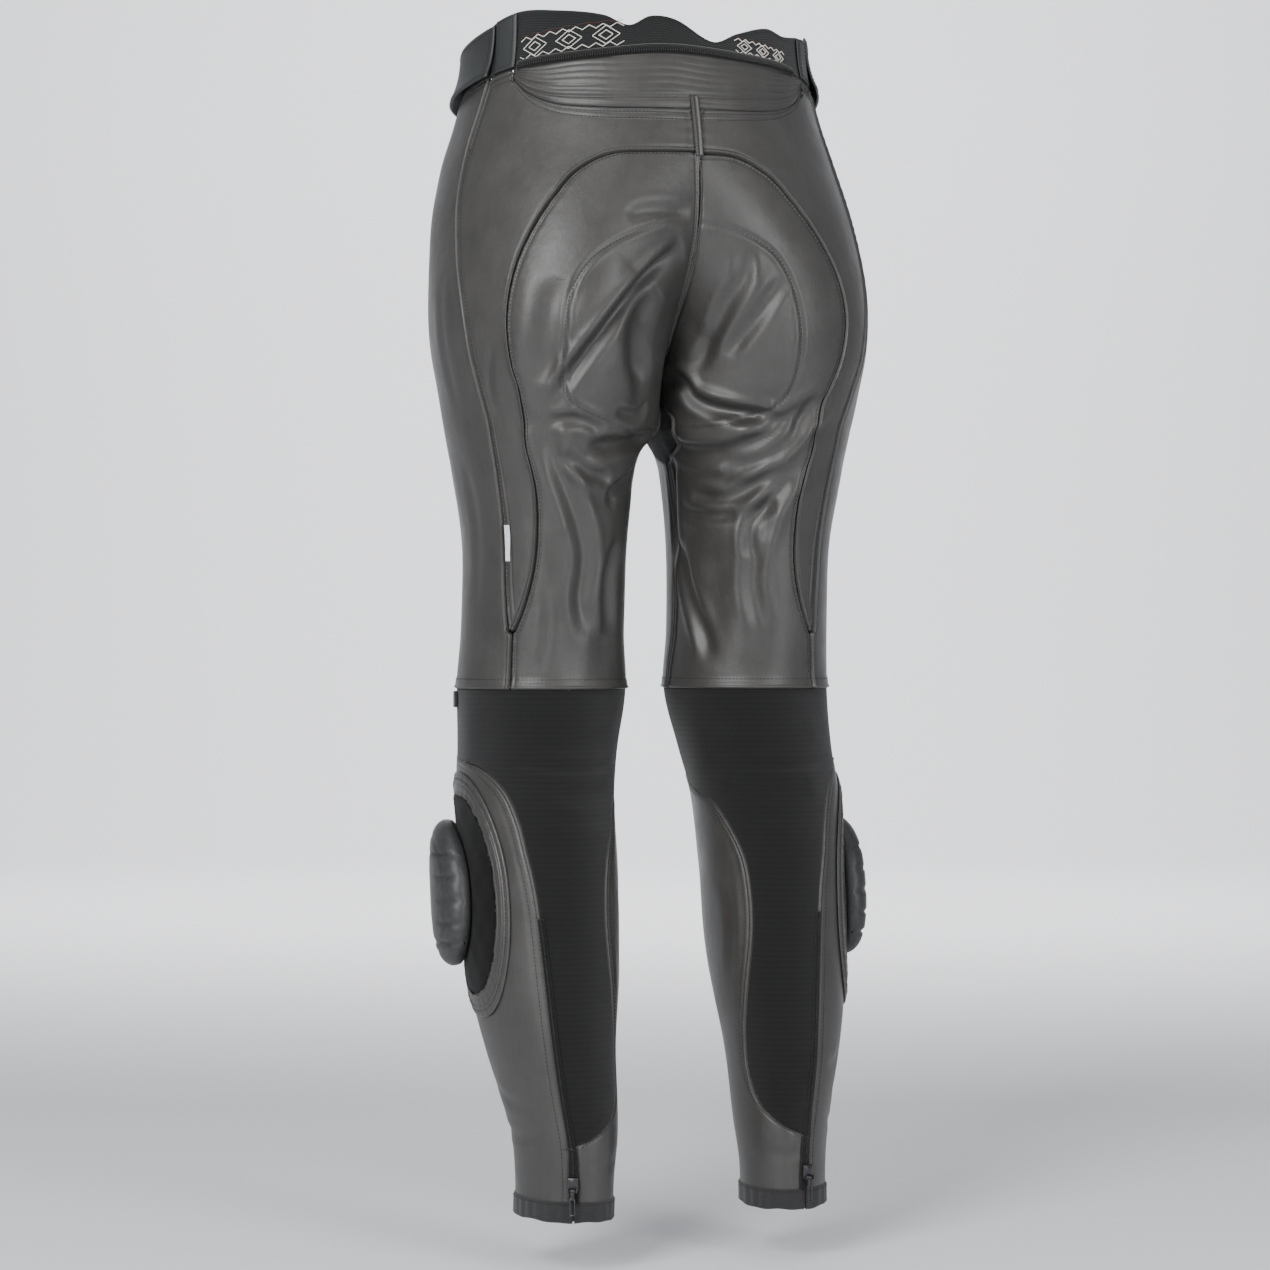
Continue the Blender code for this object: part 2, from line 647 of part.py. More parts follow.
def box_between(maker, centre, axes, sizes):
    """Box in a bmesh, given its middle, its three directions and their lengths."""
    made = bmesh.ops.create_cube(maker, size=1.0)["verts"]
    for vert in made:
        offset = [vert.co[k] * sizes[k] for k in range(3)]
        vert.co = centre + axes[0] * offset[0] + axes[1] * offset[1] + axes[2] * offset[2]
    bmesh.ops.recalc_face_normals(maker, faces=maker.faces)


def rod_along(maker, centre, axes, radius, length, sides):
    """Round rod in a bmesh along the first of three directions."""
    made = bmesh.ops.create_cone(maker, cap_ends=True, segments=sides, radius1=radius,
                                 radius2=radius, depth=length)["verts"]
    for vert in made:
        x, y, z = vert.co
        vert.co = centre + axes[0] * z + axes[1] * x + axes[2] * y
    bmesh.ops.recalc_face_normals(maker, faces=maker.faces)


def combine(base, tool_maker, operation):
    """Boolean of an object with a bmesh shape, applied at once."""
    mesh = bpy.data.meshes.new("tool")
    tool_maker.to_mesh(mesh)
    tool_maker.free()
    tool = bpy.data.objects.new("tool", mesh)
    tool.hide_render = True
    tool.display_type = "WIRE"
    bpy.data.collections["cutters"].objects.link(tool)
    modifier = base.modifiers.new("combine", "BOOLEAN")
    modifier.operation = operation
    modifier.object = tool
    graph = bpy.context.evaluated_depsgraph_get()
    joined = bpy.data.meshes.new_from_object(base.evaluated_get(graph))
    base.modifiers.remove(modifier)
    base.data = joined
    bpy.data.objects.remove(tool, do_unlink=True)


def calf_zip(side, zip_line):
    """Chain over the seam, slider with ears and pin, and the pull tab that swings on it."""
    name = side_name(side)
    chain = [(a, z) for a, z in zip_line if z < ZIP_TOP_Z]
    chain[-1] = (chain[-1][0], CUFF_TOP_Z + 2 * HALF_GAP)
    outer, normals = [], []
    for angle, height in chain:
        middle, normal = cloth(side, angle, height, LIFT + ZIP_THICK)
        across = cloth(side, angle + 1, height)[0] - cloth(side, angle - 1, height)[0]
        step = 2 * ZIP_HALF_WIDTH / across.length
        edges = [cloth(side, angle + k * step, height, LIFT + ZIP_THICK) for k in (-1, 1)]
        outer.append([edges[0][0], middle, edges[1][0]])
        normals.append([edges[0][1], normal, edges[1][1]])
    wall_from_grid(f"zip_chain_{name}", "zip", outer, normals, ZIP_THICK, side, (0, 0, 0, 0))

    angle = (zip_line[-1][0] + zip_line[-3][0]) / 2
    base = LIFT + ZIP_THICK + 2 * RUNNING_GAP
    width, tall, thick = SLIDER_SIZE
    foot, out, down, across = local_frame(side, angle, SLIDER_Z, base)
    axes = (across, down, out)
    maker = bmesh.new()
    box_between(maker, foot + out * (thick / 2), axes, SLIDER_SIZE)
    bmesh.ops.bevel(maker, geom=maker.edges[:], offset=0.0006, segments=1, affect="EDGES", profile=0.5)
    slider = add_object(f"zip_slider_{name}", "metal", maker)

    pin = foot + out * (thick + RUNNING_GAP + BARREL_RADIUS) + down * (tall / 2 - BARREL_RADIUS)
    ear_out = (BARREL_LENGTH + EAR_SIZE[0]) / 2 + RUNNING_GAP
    for way in (-1, 1):
        ear = bmesh.new()
        centre = pin + across * (way * ear_out) - out * (EAR_SIZE[2] / 2 - BARREL_RADIUS)
        box_between(ear, centre, axes, EAR_SIZE)
        combine(slider, ear, "UNION")
    rod = bmesh.new()
    rod_along(rod, pin, axes, PIN_RADIUS, 2 * ear_out + 0.0004, 10)
    combine(slider, rod, "UNION")

    maker = bmesh.new()
    box_between(maker, pin + down * (PULL_SIZE[1] / 2), axes, PULL_SIZE)
    corners = [e for e in maker.edges if abs((e.verts[0].co - e.verts[1].co).normalized().dot(out)) > 0.9]
    bmesh.ops.bevel(maker, geom=corners, offset=0.0011, segments=2, affect="EDGES", profile=0.5)
    pull = add_object(f"zip_pull_{name}", "metal", maker)
    barrel = bmesh.new()
    rod_along(barrel, pin, axes, BARREL_RADIUS, BARREL_LENGTH, 14)
    combine(pull, barrel, "UNION")
    eye = bmesh.new()
    rod_along(eye, pin, axes, EYE_RADIUS, 2 * PULL_SIZE[0], 12)
    combine(pull, eye, "DIFFERENCE")
    slot = bmesh.new()
    rod_along(slot, pin + down * (PULL_SIZE[1] - 0.0055), (out, across, down), 0.0013, 0.01, 10)
    combine(pull, slot, "DIFFERENCE")


# Pieces at the waist


def around_waist(turn):
    """Side and angle for degrees from the centre back towards the wearer's left."""
    return (1, 90.0 - turn) if turn >= 0 else (-1, 90.0 + turn)


def waist_grid(turns, heights_at, rows, lift):
    """Grid across both sides: columns at the turns, rows between two heights."""
    outer, normals = [], []
    for i in range(rows + 1):
        row, row_normals = [], []
        for turn in turns:
            side, angle = around_waist(turn)
            low, high = heights_at(turn)
            proud = lift(i / rows, turn) if callable(lift) else lift
            point, normal = cloth(side, angle, high + (low - high) * i / rows, proud)
            row.append(point)
            row_normals.append(normal)
        outer.append(row)
        normals.append(row_normals)
    return outer, normals


def band_top(turn):
    """Height of the waistband's wavy top edge."""
    table = [(-a, z) for a, z in BAND_TOP]
    return row_at(table, -turn)[0]


def lumbar_panel():
    """Gathered stretch panel across the small of the back."""
    left, right = lumbar_edge(1), lumbar_edge(-1)
    columns = [(1, a, z) for a, z in reversed(left)] + [(-1, a, z) for a, z in right[1:]]
    rows = 2 * GATHERS
    outer, normals = [], []
    for i in range(rows + 1):
        share = i / rows
        row, row_normals = [], []
        for k, (side, angle, low) in enumerate(columns):
            height = WAIST_Z + (low - WAIST_Z) * share
            ripple = 0.0
            if 0 < i < rows and 0 < k < len(columns) - 1:
                ripple = GATHER_DEPTH * (1 if i % 2 else -1) * (0.55 + 0.45 * math.cos(k * 1.7 + i))
            point, normal = cloth(side, angle, height, ripple)
            row.append(point)
            row_normals.append(normal)
        outer.append(row)
        normals.append(row_normals)
    wall_from_grid("lumbar_panel", "leather", outer, normals, LEATHER)


def waistband():
    """Elastic back, leather front halves and the tape of the jacket zip."""
    turns = even(BAND_END, -BAND_END, 20)
    tape_turns = [turn for turn in turns if TAPE_TURNS[1] <= turn <= TAPE_TURNS[0]]
    grid = waist_grid(turns, lambda turn: (WAIST_Z, band_top(turn)), 2, 0.0)
    wall_from_grid("waistband_back", "elastic", *grid, ELASTIC, tight=(0, 1, 1, 1))
    tape = waist_grid(tape_turns, lambda turn: (WAIST_Z + 0.0006, WAIST_Z + ZIP_TAPE_HEIGHT), 1,
                      2 * LIFT + 0.0006)
    wall_from_grid("jacket_zip_tape", "zip", *tape, 0.0012, tight=(0, 0, 0, 0))
    for side in (1, -1):
        angles = even(90 - BAND_END, -90, 9)
        low = [(a, WAIST_Z) for a in angles]
        high = [(a, FRONT_BAND_TOP) for a in angles]
        panel(f"waistband_front_{side_name(side)}", "leather", side, high, low, 2, LEATHER,
              tight=(1, 1, 0, 1))


def strap_lift(row, _across):
    """The strap lies on the band in front and stands off towards its free end."""
    return LIFT + ELASTIC + STRAP_STAND * row ** 2


def waist_tabs():
    """Stitched anchor patch and folded strap at each side of the waist."""
    for side in (1, -1):
        name = side_name(side)
        turn = row_at(RIGHT_TURN, 0.0)[0] if side < 0 else 0.0
        start, end = (a + turn for a in PATCH_ANGLES)
        angles = even(start, end, 3)
        low = [(a, WAIST_Z + 0.0006) for a in angles]
        high = [(a, band_top((90 - a) * side) - 0.0015) for a in angles]
        panel(f"tab_patch_{name}", "elastic", side, high, low, 2, 0.0012,
              lift=2 * LIFT + 0.0008, tight=(0, 0, 0, 0))
        start, end = (a + turn for a in STRAP_ANGLES)
        angles = even(start, end, 6)
        low = [(a, STRAP_LOW) for a in angles]
        high = [(a, STRAP_HIGH) for a in angles]
        panel(f"tab_strap_{name}", "elastic", side, high, low, 2, ELASTIC, lift=strap_lift,
              tight=(0, 0, 0, 0))


def back_strip():
    """Topstitched strip over the seam under the lumbar panel."""
    heights = even(STRIP_HIGH_Z, STRIP_LOW_Z, 4)
    degree = (base_point(1, 90, STRIP_HIGH_Z) - base_point(1, 89, STRIP_HIGH_Z)).length
    half = STRIP_HALF / degree
    outer, normals = [], []
    for height in heights:
        row = []
        for turn in (half, 0.0, -half):
            side = -1 if turn < 0 else 1
            angle = middle_edge(height, False) - abs(turn)
            row.append(cloth(side, angle, height, LIFT + 0.0018))
        outer.append([p for p, _ in row])
        normals.append([n for _, n in row])
    wall_from_grid("back_strip", "leather", outer, normals, 0.0012, tight=(0, 0, 0, 0))


def fly():
    """Flap over the front opening and the button of the waistband."""
    heights = even(WAIST_Z - 0.001, FLY_LOW_Z, len(FLY_SHARES) - 1)
    first, last = [], []
    for k, height in enumerate(heights):
        edge = -middle_edge(height, True)
        degree = (base_point(1, -80, height) - base_point(1, -81, height)).length
        width = FLY_WIDTH / degree * FLY_SHARES[k]
        first.append((edge + 0.8, height))
        last.append((edge + width, height))
    panel("fly_flap", "leather", 1, first, last, 3, 0.0014, lift=LIFT + 0.0014, tight=(0, 0, 0, 0))

    angles = even(90 - BAND_END, -90, 9)[-2:]
    corners = [base_point(1, a, z) for a in angles for z in (WAIST_Z, (WAIST_Z + FRONT_BAND_TOP) / 2)]
    centre = sum(corners, Vector()) / 4
    out = (corners[1] - corners[0]).cross(corners[2] - corners[0]).normalized()
    if out.y > 0:
        out.negate()
    across = out.cross(Vector((0.0, 0.0, 1.0))).normalized()
    up = out.cross(across)
    maker = bmesh.new()
    rod_along(maker, centre + out * (0.0005 + BUTTON_THICK / 2), (out, across, up),
              BUTTON_RADIUS, BUTTON_THICK, 24)
    rim = [e for e in maker.edges if all((v.co - centre).dot(out) > BUTTON_THICK * 0.9 for v in e.verts)]
    bmesh.ops.bevel(maker, geom=rim, offset=0.0010, segments=2, affect="EDGES", profile=0.5)
    add_object("fly_button", "metal", maker)


def small_labels():
    """Plain label in the left side seam and the tab under the left knee hem."""
    degree = (base_point(1, 41, LABEL_HIGH_Z) - base_point(1, 40, LABEL_HIGH_Z)).length
    heights = even(LABEL_HIGH_Z, LABEL_HIGH_Z - LABEL_SIZE[1], 3)
    first = [(LABEL_ANGLE, z) for z in heights]
    last = [(LABEL_ANGLE + LABEL_SIZE[0] / degree, z) for z in heights]
    panel("side_label", "label", 1, first, last, 1, 0.0006, lift=LIFT + 0.0008, tight=(0, 0, 0, 0))
    heights = even(*TAB_HEIGHTS, 2)
    first = [(TAB_ANGLES[0], z) for z in heights]
    last = [(TAB_ANGLES[1], z) for z in heights]
    panel("hem_tab", "binding", 1, first, last, 2, 0.0024, lift=LIFT + 0.0026, tight=(0, 0, 0, 0))


def start_scene():
    """Empty scene with one collection for the part."""
    for old in list(bpy.data.objects):
        bpy.data.objects.remove(old, do_unlink=True)
    for name in ("motorcycle_trousers", "cutters"):
        made = bpy.data.collections.new(name)
        bpy.context.scene.collection.children.link(made)


def main():
    start_scene()
    for side in (1, -1):
        upper_leg(side)
        lower_leg(side)
    lumbar_panel()
    waistband()
    waist_tabs()
    back_strip()
    fly()
    small_labels()


main()
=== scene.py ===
import math

import bmesh
import bpy
import numpy as np
from mathutils import Matrix, Vector


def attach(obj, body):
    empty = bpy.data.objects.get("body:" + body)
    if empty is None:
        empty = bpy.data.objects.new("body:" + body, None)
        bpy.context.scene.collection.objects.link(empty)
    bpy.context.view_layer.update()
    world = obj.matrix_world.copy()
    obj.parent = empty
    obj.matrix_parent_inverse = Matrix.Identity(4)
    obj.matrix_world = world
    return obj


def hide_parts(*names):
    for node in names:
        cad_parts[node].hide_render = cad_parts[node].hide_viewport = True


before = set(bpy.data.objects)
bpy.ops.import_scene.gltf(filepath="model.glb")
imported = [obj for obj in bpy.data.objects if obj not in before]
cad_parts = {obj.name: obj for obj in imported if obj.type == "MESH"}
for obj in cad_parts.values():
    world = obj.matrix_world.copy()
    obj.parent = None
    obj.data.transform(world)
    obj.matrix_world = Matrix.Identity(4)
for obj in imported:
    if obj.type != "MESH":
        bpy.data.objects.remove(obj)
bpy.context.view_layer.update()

bl_info = {
    "name": "Motorcycle Trousers",
    "version": (1, 0, 0),
    "blender": (4, 5, 0),
    "location": "3D View > Sidebar > Trousers",
    "description": "Dresses the solids of a pair of leather motorcycle trousers",
    "category": "Add Mesh",
}

# Heights, from the waist down
WAIST_Z = -0.018
ARCH_Z = -0.098
CROTCH_Z = -0.309
MERGE_Z = -0.487
KNEE_HEM_Z = -0.537
CUFF_TOP_Z = -0.969
CUFF_END_Z = -0.985
GUSSET_BACK_Z, GUSSET_FRONT_Z = -0.288, -0.236

# Rows of the solids' panels, which the cloth follows
TOP_ROWS, SIDE_ROWS, HEM_ROWS, INSEAM_ROWS, SHIN_ROWS = 7, 18, 2, 8, 18
METRE_PER_DEGREE = 0.0016

# Walls
LEATHER, KNIT, ELASTIC = 0.0017, 0.0013, 0.0020
SEAM_HALF = 0.00012

# Sections of the body: height, half width, centre y, front y, back y
BODY = [
    (0.060, 0.1560, 0.000, -0.104, 0.127),
    (0.000, 0.1576, 0.000, -0.105, 0.130),
    (-0.040, 0.1660, 0.001, -0.109, 0.139),
    (-0.080, 0.1790, 0.004, -0.112, 0.151),
    (-0.120, 0.1890, 0.013, -0.113, 0.161),
    (-0.160, 0.1940, 0.024, -0.112, 0.167),
    (-0.200, 0.1965, 0.033, -0.106, 0.169),
    (-0.240, 0.1945, 0.036, -0.097, 0.164),
    (-0.280, 0.1880, 0.035, -0.086, 0.152),
    (-0.309, 0.1830, 0.033, -0.078, 0.142),
    (-0.345, 0.1757, 0.031, -0.070, 0.132),
    (-0.415, 0.1655, 0.030, -0.063, 0.120),
    (-0.485, 0.1660, 0.026, -0.061, 0.111),
    (-0.538, 0.1690, 0.024, -0.062, 0.105),
    (-0.590, 0.1700, 0.033, -0.058, 0.111),
    (-0.635, 0.1715, 0.045, -0.050, 0.123),
    (-0.694, 0.1700, 0.057, -0.040, 0.134),
    (-0.779, 0.1690, 0.066, -0.016, 0.142),
    (-0.846, 0.1584, 0.081, 0.012, 0.147),
    (-0.914, 0.1420, 0.095, 0.040, 0.151),
    (-0.950, 0.1385, 0.097, 0.045, 0.149),
    (-0.990, 0.1385, 0.097, 0.046, 0.148),
]
# Inner side of each leg: height, distance from the middle plane
INNER_LEG = [
    (-0.309, 0.0000), (-0.325, 0.0130), (-0.345, 0.0200), (-0.415, 0.0265), (-0.485, 0.0270),
    (-0.538, 0.0240), (-0.590, 0.0350), (-0.635, 0.0430), (-0.694, 0.0450), (-0.779, 0.0485),
    (-0.846, 0.0564), (-0.914, 0.0593), (-0.950, 0.0635), (-0.990, 0.0650),
]
# How far the halves have parted above the crotch: height, front, back
PARTING = [
    (0.060, 0.00, 0.000), (-0.060, 0.00, 0.000), (-0.100, 0.00, 0.100), (-0.140, 0.05, 0.360),
    (-0.180, 0.30, 0.680), (-0.215, 0.60, 0.880), (-0.250, 0.84, 0.965), (-0.280, 0.95, 0.990),
    (-0.309, 1.00, 1.000),
]
# Stance: height, toes turned out in degrees, rise of the section to the back
STANCE = [
    (0.060, 0.0, 0.22), (0.000, 0.0, 0.22), (-0.100, 0.0, 0.12), (-0.200, 0.0, 0.00),
    (-0.450, 0.0, 0.00), (-0.600, 5.0, 0.00), (-0.780, 12.0, 0.00), (-0.930, 15.0, 0.00),
    (-0.990, 15.0, 0.00),
]
# The right leg's seams sit further back: height, degrees
RIGHT_TURN = [
    (0.060, 8.0), (-0.050, 10.0), (-0.100, 15.0), (-0.200, 18.0), (-0.350, 22.0),
    (-0.450, 22.0), (-0.537, 14.0), (-0.990, 12.0),
]

# Seams, on the wearer's left: angle from the outer side (90 is the back), height
SIDE_SEAM = [
    (20, WAIST_Z), (18, -0.055), (17, -0.100), (18, -0.140), (20, -0.175), (24, -0.214),
    (28, -0.262), (34, -0.306), (37, -0.350), (38, -0.395), (38, -0.440), (42, MERGE_Z),
]
ARCH_SEAM = [
    (90, ARCH_Z), (74, -0.0990), (66, -0.1020), (60, -0.1130), (56, -0.1310), (52, -0.1510),
    (49, -0.1720), (47, -0.1940), (46, -0.2270), (48, -0.2610), (52, -0.2880), (56, -0.3300),
    (60, -0.3550), (62, -0.3820), (60, -0.4290), (54, -0.4636), (47, MERGE_Z),
]
HEM_SEAM = [(45, MERGE_Z - 0.002), (45, KNEE_HEM_Z)]
LUMBAR_EDGE = [(90, -0.064), (68, -0.063), (50, -0.056), (40, -0.045), (33, -0.030), (31, -0.024)]
GUSSET_BACK_EDGE = [(169, -0.2900), (162, -0.296), (160, -0.306), (165, -0.322), (180, -0.338)]
GUSSET_FRONT_EDGE = [
    (180, -0.338), (197, -0.330), (213, -0.312), (226, -0.285), (231, -0.258), (226, -0.2390),
]
GUSSET_ROWS = 7
CORNER_TURN, CORNER_DROP = 1.8, 0.0016
KNIT_OUTER = [
    (-45, KNEE_HEM_Z), (-44, -0.588), (-30, -0.596), (0, -0.600), (16, -0.604), (34, -0.618),
    (44, -0.643), (48, -0.672), (52, -0.705), (54, -0.730), (56, -0.780), (56, -0.840),
    (54, -0.898), (55, -0.921),
]
KNIT_INNER = [
    (225, KNEE_HEM_Z), (222, -0.585), (212, -0.602), (190, -0.616), (168, -0.626), (142, -0.637),
    (126, -0.660), (114, -0.690), (110, -0.740), (115, -0.785), (127, -0.840), (127, -0.868),
    (112, -0.896), (80, -0.914), (59, -0.920),
]
ZIP_LOW = [(56, -0.923), (58, CUFF_TOP_Z)]
SHIN_OUTER = [(-50, -0.592), (-60, -0.620), (-67, -0.665), (-68, -0.750), (-68, CUFF_TOP_Z)]
SHIN_INNER = [(222, -0.590), (219, -0.640), (216, -0.720), (214, CUFF_TOP_Z)]

# Top edge of the elastic: degrees from the centre back to the wearer's left, height
BAND_TOP = [
    (-72, 0.023), (-56, 0.022), (-40, 0.012), (-31, 0.013), (-18, 0.002), (-8, -0.008),
    (4, 0.008), (12, 0.011), (19, 0.004), (27, 0.014), (42, 0.023), (58, 0.031), (72, 0.028),
]
FRONT_BAND_TOP, BAND_END = 0.024, 70

# Large folds: side (0 is both), three points as angle and height, width, depth
FOLDS = [
    (1, 118, -0.165, 106, -0.202, 78, -0.285, 0.013, 0.0060),
    (1, 100, -0.185, 92, -0.215, 84, -0.245, 0.020, -0.0035),
    (1, 122, -0.200, 120, -0.240, 124, -0.300, 0.013, 0.0060),
    (1, 150, -0.318, 112, -0.336, 80, -0.332, 0.013, 0.0050),
    (1, 160, -0.352, 120, -0.368, 92, -0.372, 0.012, 0.0032),
    (1, 78, -0.400, 84, -0.460, 88, -0.530, 0.014, 0.0030),
    (1, 122, -0.410, 116, -0.470, 112, -0.530, 0.014, 0.0028),
    (-1, 168, -0.311, 118, -0.296, 74, -0.287, 0.013, 0.0052),
    (-1, 170, -0.330, 140, -0.354, 92, -0.355, 0.013, 0.0050),
    (-1, 160, -0.372, 130, -0.382, 100, -0.378, 0.012, 0.0030),
    (-1, 148, -0.215, 140, -0.240, 142, -0.262, 0.012, 0.0030),
    (-1, 112, -0.410, 106, -0.470, 104, -0.530, 0.014, 0.0028),
    (-1, 146, -0.400, 140, -0.450, 140, -0.520, 0.014, 0.0026),
    (0, -140, -0.262, -104, -0.238, -62, -0.226, 0.014, 0.0055),
    (0, -150, -0.300, -112, -0.290, -72, -0.286, 0.013, 0.0040),
    (0, -100, -0.180, -84, -0.196, -56, -0.196, 0.013, 0.0030),
    (0, -112, -0.400, -104, -0.450, -100, -0.520, 0.015, 0.0030),
    (0, -50, -0.360, -44, -0.430, -50, -0.500, 0.015, 0.0030),
    (0, 60, -0.576, 100, -0.584, 150, -0.578, 0.012, 0.0030),
    (0, 70, -0.622, 105, -0.628, 140, -0.618, 0.012, 0.0026),
    (0, -130, -0.585, -100, -0.592, -70, -0.585, 0.013, 0.0035),
    (0, -128, -0.800, -100, -0.815, -78, -0.806, 0.013, 0.0030),
    (0, 70, -0.870, 90, -0.876, 110, -0.872, 0.012, 0.0018),
]

# Finer creases, in the same columns
CREASES = [
    (1, 66, -0.445, 70, -0.480, 66, -0.520, 0.0045, 0.0011),
    (1, 56, -0.300, 62, -0.325, 66, -0.360, 0.0045, 0.0010),
    (1, 40, -0.245, 36, -0.275, 40, -0.300, 0.0040, 0.0010),
    (1, 8, -0.180, 6, -0.240, 12, -0.300, 0.0060, 0.0010),
    (1, 10, -0.340, 14, -0.400, 10, -0.470, 0.0060, 0.0011),
    (0, -156, -0.284, -134, -0.276, -112, -0.262, 0.0045, 0.0016),
    (0, -160, -0.310, -140, -0.316, -112, -0.312, 0.0045, 0.0015),
    (0, -122, -0.212, -104, -0.212, -82, -0.204, 0.0045, 0.0014),
    (0, -100, -0.262, -82, -0.256, -60, -0.250, 0.0045, 0.0012),
    (0, -84, -0.160, -66, -0.170, -44, -0.168, 0.0045, 0.0010),
    (0, -130, -0.400, -124, -0.450, -126, -0.510, 0.0055, 0.0012),
    (0, -80, -0.380, -76, -0.440, -78, -0.500, 0.0060, 0.0012),
    (0, -140, -0.556, -110, -0.566, -80, -0.556, 0.0045, 0.0018),
    (0, -136, -0.606, -108, -0.618, -76, -0.610, 0.0045, 0.0018),
    (0, -130, -0.636, -104, -0.644, -80, -0.638, 0.0045, 0.0012),
    (0, 50, -0.556, 90, -0.560, 130, -0.553, 0.0050, 0.0011),
    (0, 40, -0.596, 90, -0.604, 150, -0.598, 0.0050, 0.0014),
    (0, 60, -0.640, 90, -0.648, 130, -0.642, 0.0050, 0.0011),
    (0, 66, -0.668, 84, -0.674, 108, -0.668, 0.0045, 0.0009),
    (0, 66, -0.800, 84, -0.806, 104, -0.800, 0.0045, 0.0008),
    (0, 66, -0.846, 86, -0.852, 110, -0.846, 0.0045, 0.0009),
    (0, 60, -0.896, 78, -0.900, 96, -0.894, 0.0040, 0.0008),
    (0, 20, -0.850, 34, -0.862, 46, -0.858, 0.0050, 0.0012),
    (0, -40, -0.870, -10, -0.886, 20, -0.884, 0.0050, 0.0012),
    (0, -60, -0.905, -20, -0.916, 30, -0.910, 0.0045, 0.0012),
    (0, 130, -0.930, 100, -0.938, 74, -0.932, 0.0040, 0.0009),
    (0, -130, -0.850, -104, -0.862, -82, -0.856, 0.0050, 0.0014),
    (0, -134, -0.900, -104, -0.912, -80, -0.906, 0.0050, 0.0014),
    (0, 150, -0.700, 142, -0.740, 146, -0.790, 0.0050, 0.0010),
]

# Creases seen in the photo: side, points as angle and height down or across the cloth, width,
# depth, and the ridges on the left and right of the run as shares of the depth
SEEN_CREASES = [
    (1, [(116.5, -0.166), (108, -0.192), (97.5, -0.223), (86.5, -0.251), (75.5, -0.277), (71, -0.297)],
     0.0062, 0.0060, 0.25, 0.75),
    (1, [(118.5, -0.203), (112.5, -0.230), (116.5, -0.255), (127, -0.274)], 0.0110, 0.0068, 0.15, 0.15),
    (1, [(66.5, -0.309), (83, -0.308), (100.5, -0.317)], 0.0050, 0.0042, 0.4, 0.4),
    (1, [(93.5, -0.328), (114.5, -0.328), (148, -0.320)], 0.0068, 0.0060, 0.2, 0.7),
    (1, [(79, -0.336), (96, -0.352), (115.5, -0.357)], 0.0052, 0.0044, 0.4, 0.4),
    (1, [(115.5, -0.381), (122, -0.365), (146.5, -0.349)], 0.0050, 0.0039, 0.4, 0.3),
    (1, [(62.5, -0.301), (75.5, -0.345), (90, -0.393), (96.5, -0.424), (95, -0.460), (100.5, -0.497)],
     0.0080, 0.0057, 0.4, 0.3),
    (1, [(84, -0.146), (93, -0.141), (108, -0.141)], 0.0060, 0.0029, 0.3, 0.3),
    (1, [(68, -0.190), (66.5, -0.226), (65.5, -0.279)], 0.0130, 0.0039, 0.2, 0.2),
    (1, [(130, -0.292), (120, -0.302), (104, -0.300)], 0.0046, 0.0034, 0.4, 0.4),
    (1, [(128, -0.405), (120, -0.440), (122, -0.490)], 0.0070, 0.0034, 0.4, 0.4),
    (-1, [(166, -0.264), (153.5, -0.269), (143.5, -0.287), (121.5, -0.299), (99.5, -0.303), (94, -0.296)],
     0.0066, 0.0070, 0.7, 0.2),
    (-1, [(168, -0.312), (160.5, -0.328), (134.5, -0.332), (110, -0.321), (86.5, -0.300), (68.5, -0.279)],
     0.0080, 0.0057, 0.5, 0.5),
    (-1, [(137.5, -0.346), (111.5, -0.337), (89, -0.316), (77.5, -0.293)], 0.0056, 0.0052, 0.4, 0.4),
    (-1, [(160.5, -0.365), (136, -0.371), (114.5, -0.360), (97, -0.341)], 0.0060, 0.0042, 0.4, 0.3),
    (-1, [(168, -0.382), (141.5, -0.386), (127.5, -0.384)], 0.0050, 0.0034, 0.4, 0.3),
    (-1, [(174.5, -0.327), (177.5, -0.362), (179, -0.396), (176, -0.422)], 0.0060, 0.0030, 0.3, 0.3),
    (-1, [(100.5, -0.371), (117, -0.391), (119, -0.423)], 0.0060, 0.0042, 0.4, 0.3),
    (-1, [(105, -0.164), (112, -0.185), (127.5, -0.213), (146, -0.262)], 0.0068, 0.0034, 0.35, 0.35),
    (-1, [(93.5, -0.183), (108.5, -0.210), (129.5, -0.250)], 0.0066, 0.0031, 0.35, 0.35),
    (-1, [(175, -0.405), (165, -0.446), (150, -0.482), (138, -0.512)], 0.0070, 0.0038, 0.2, 0.45),
    (-1, [(83.5, -0.334), (105.5, -0.378), (115, -0.440), (105.5, -0.487)], 0.0075, 0.0039, 0.5, 0.3),
]

# Line of stitches round the seat's padding, for each side, from the middle seam outwards and down
SEAT_LINES = {
    1: [(119, -0.1480), (110, -0.147), (100, -0.149), (86, -0.1635), (78, -0.180), (74, -0.206),
        (74, -0.234), (74, -0.2665), (76, -0.287), (88, -0.301), (120, -0.317), (150, -0.321)],
    -1: [(128, -0.1450), (114.6, -0.147), (102, -0.153), (94, -0.166), (92, -0.184), (92, -0.212),
         (92, -0.240), (94, -0.274), (100, -0.291), (116, -0.304), (142, -0.311), (166, -0.306)],
}

# Knee, on the wearer's left: angle and height of the middle, half sizes along and up
KNEE_ANGLE, KNEE_Z = -16, -0.713
BAND_HALF, PATCH_HALF, PUCK_HALF = (0.077, 0.104), (0.058, 0.084), (0.048, 0.062)
PUCK_THICK = 0.024
LIFT = 0.0006

# Tables and seams


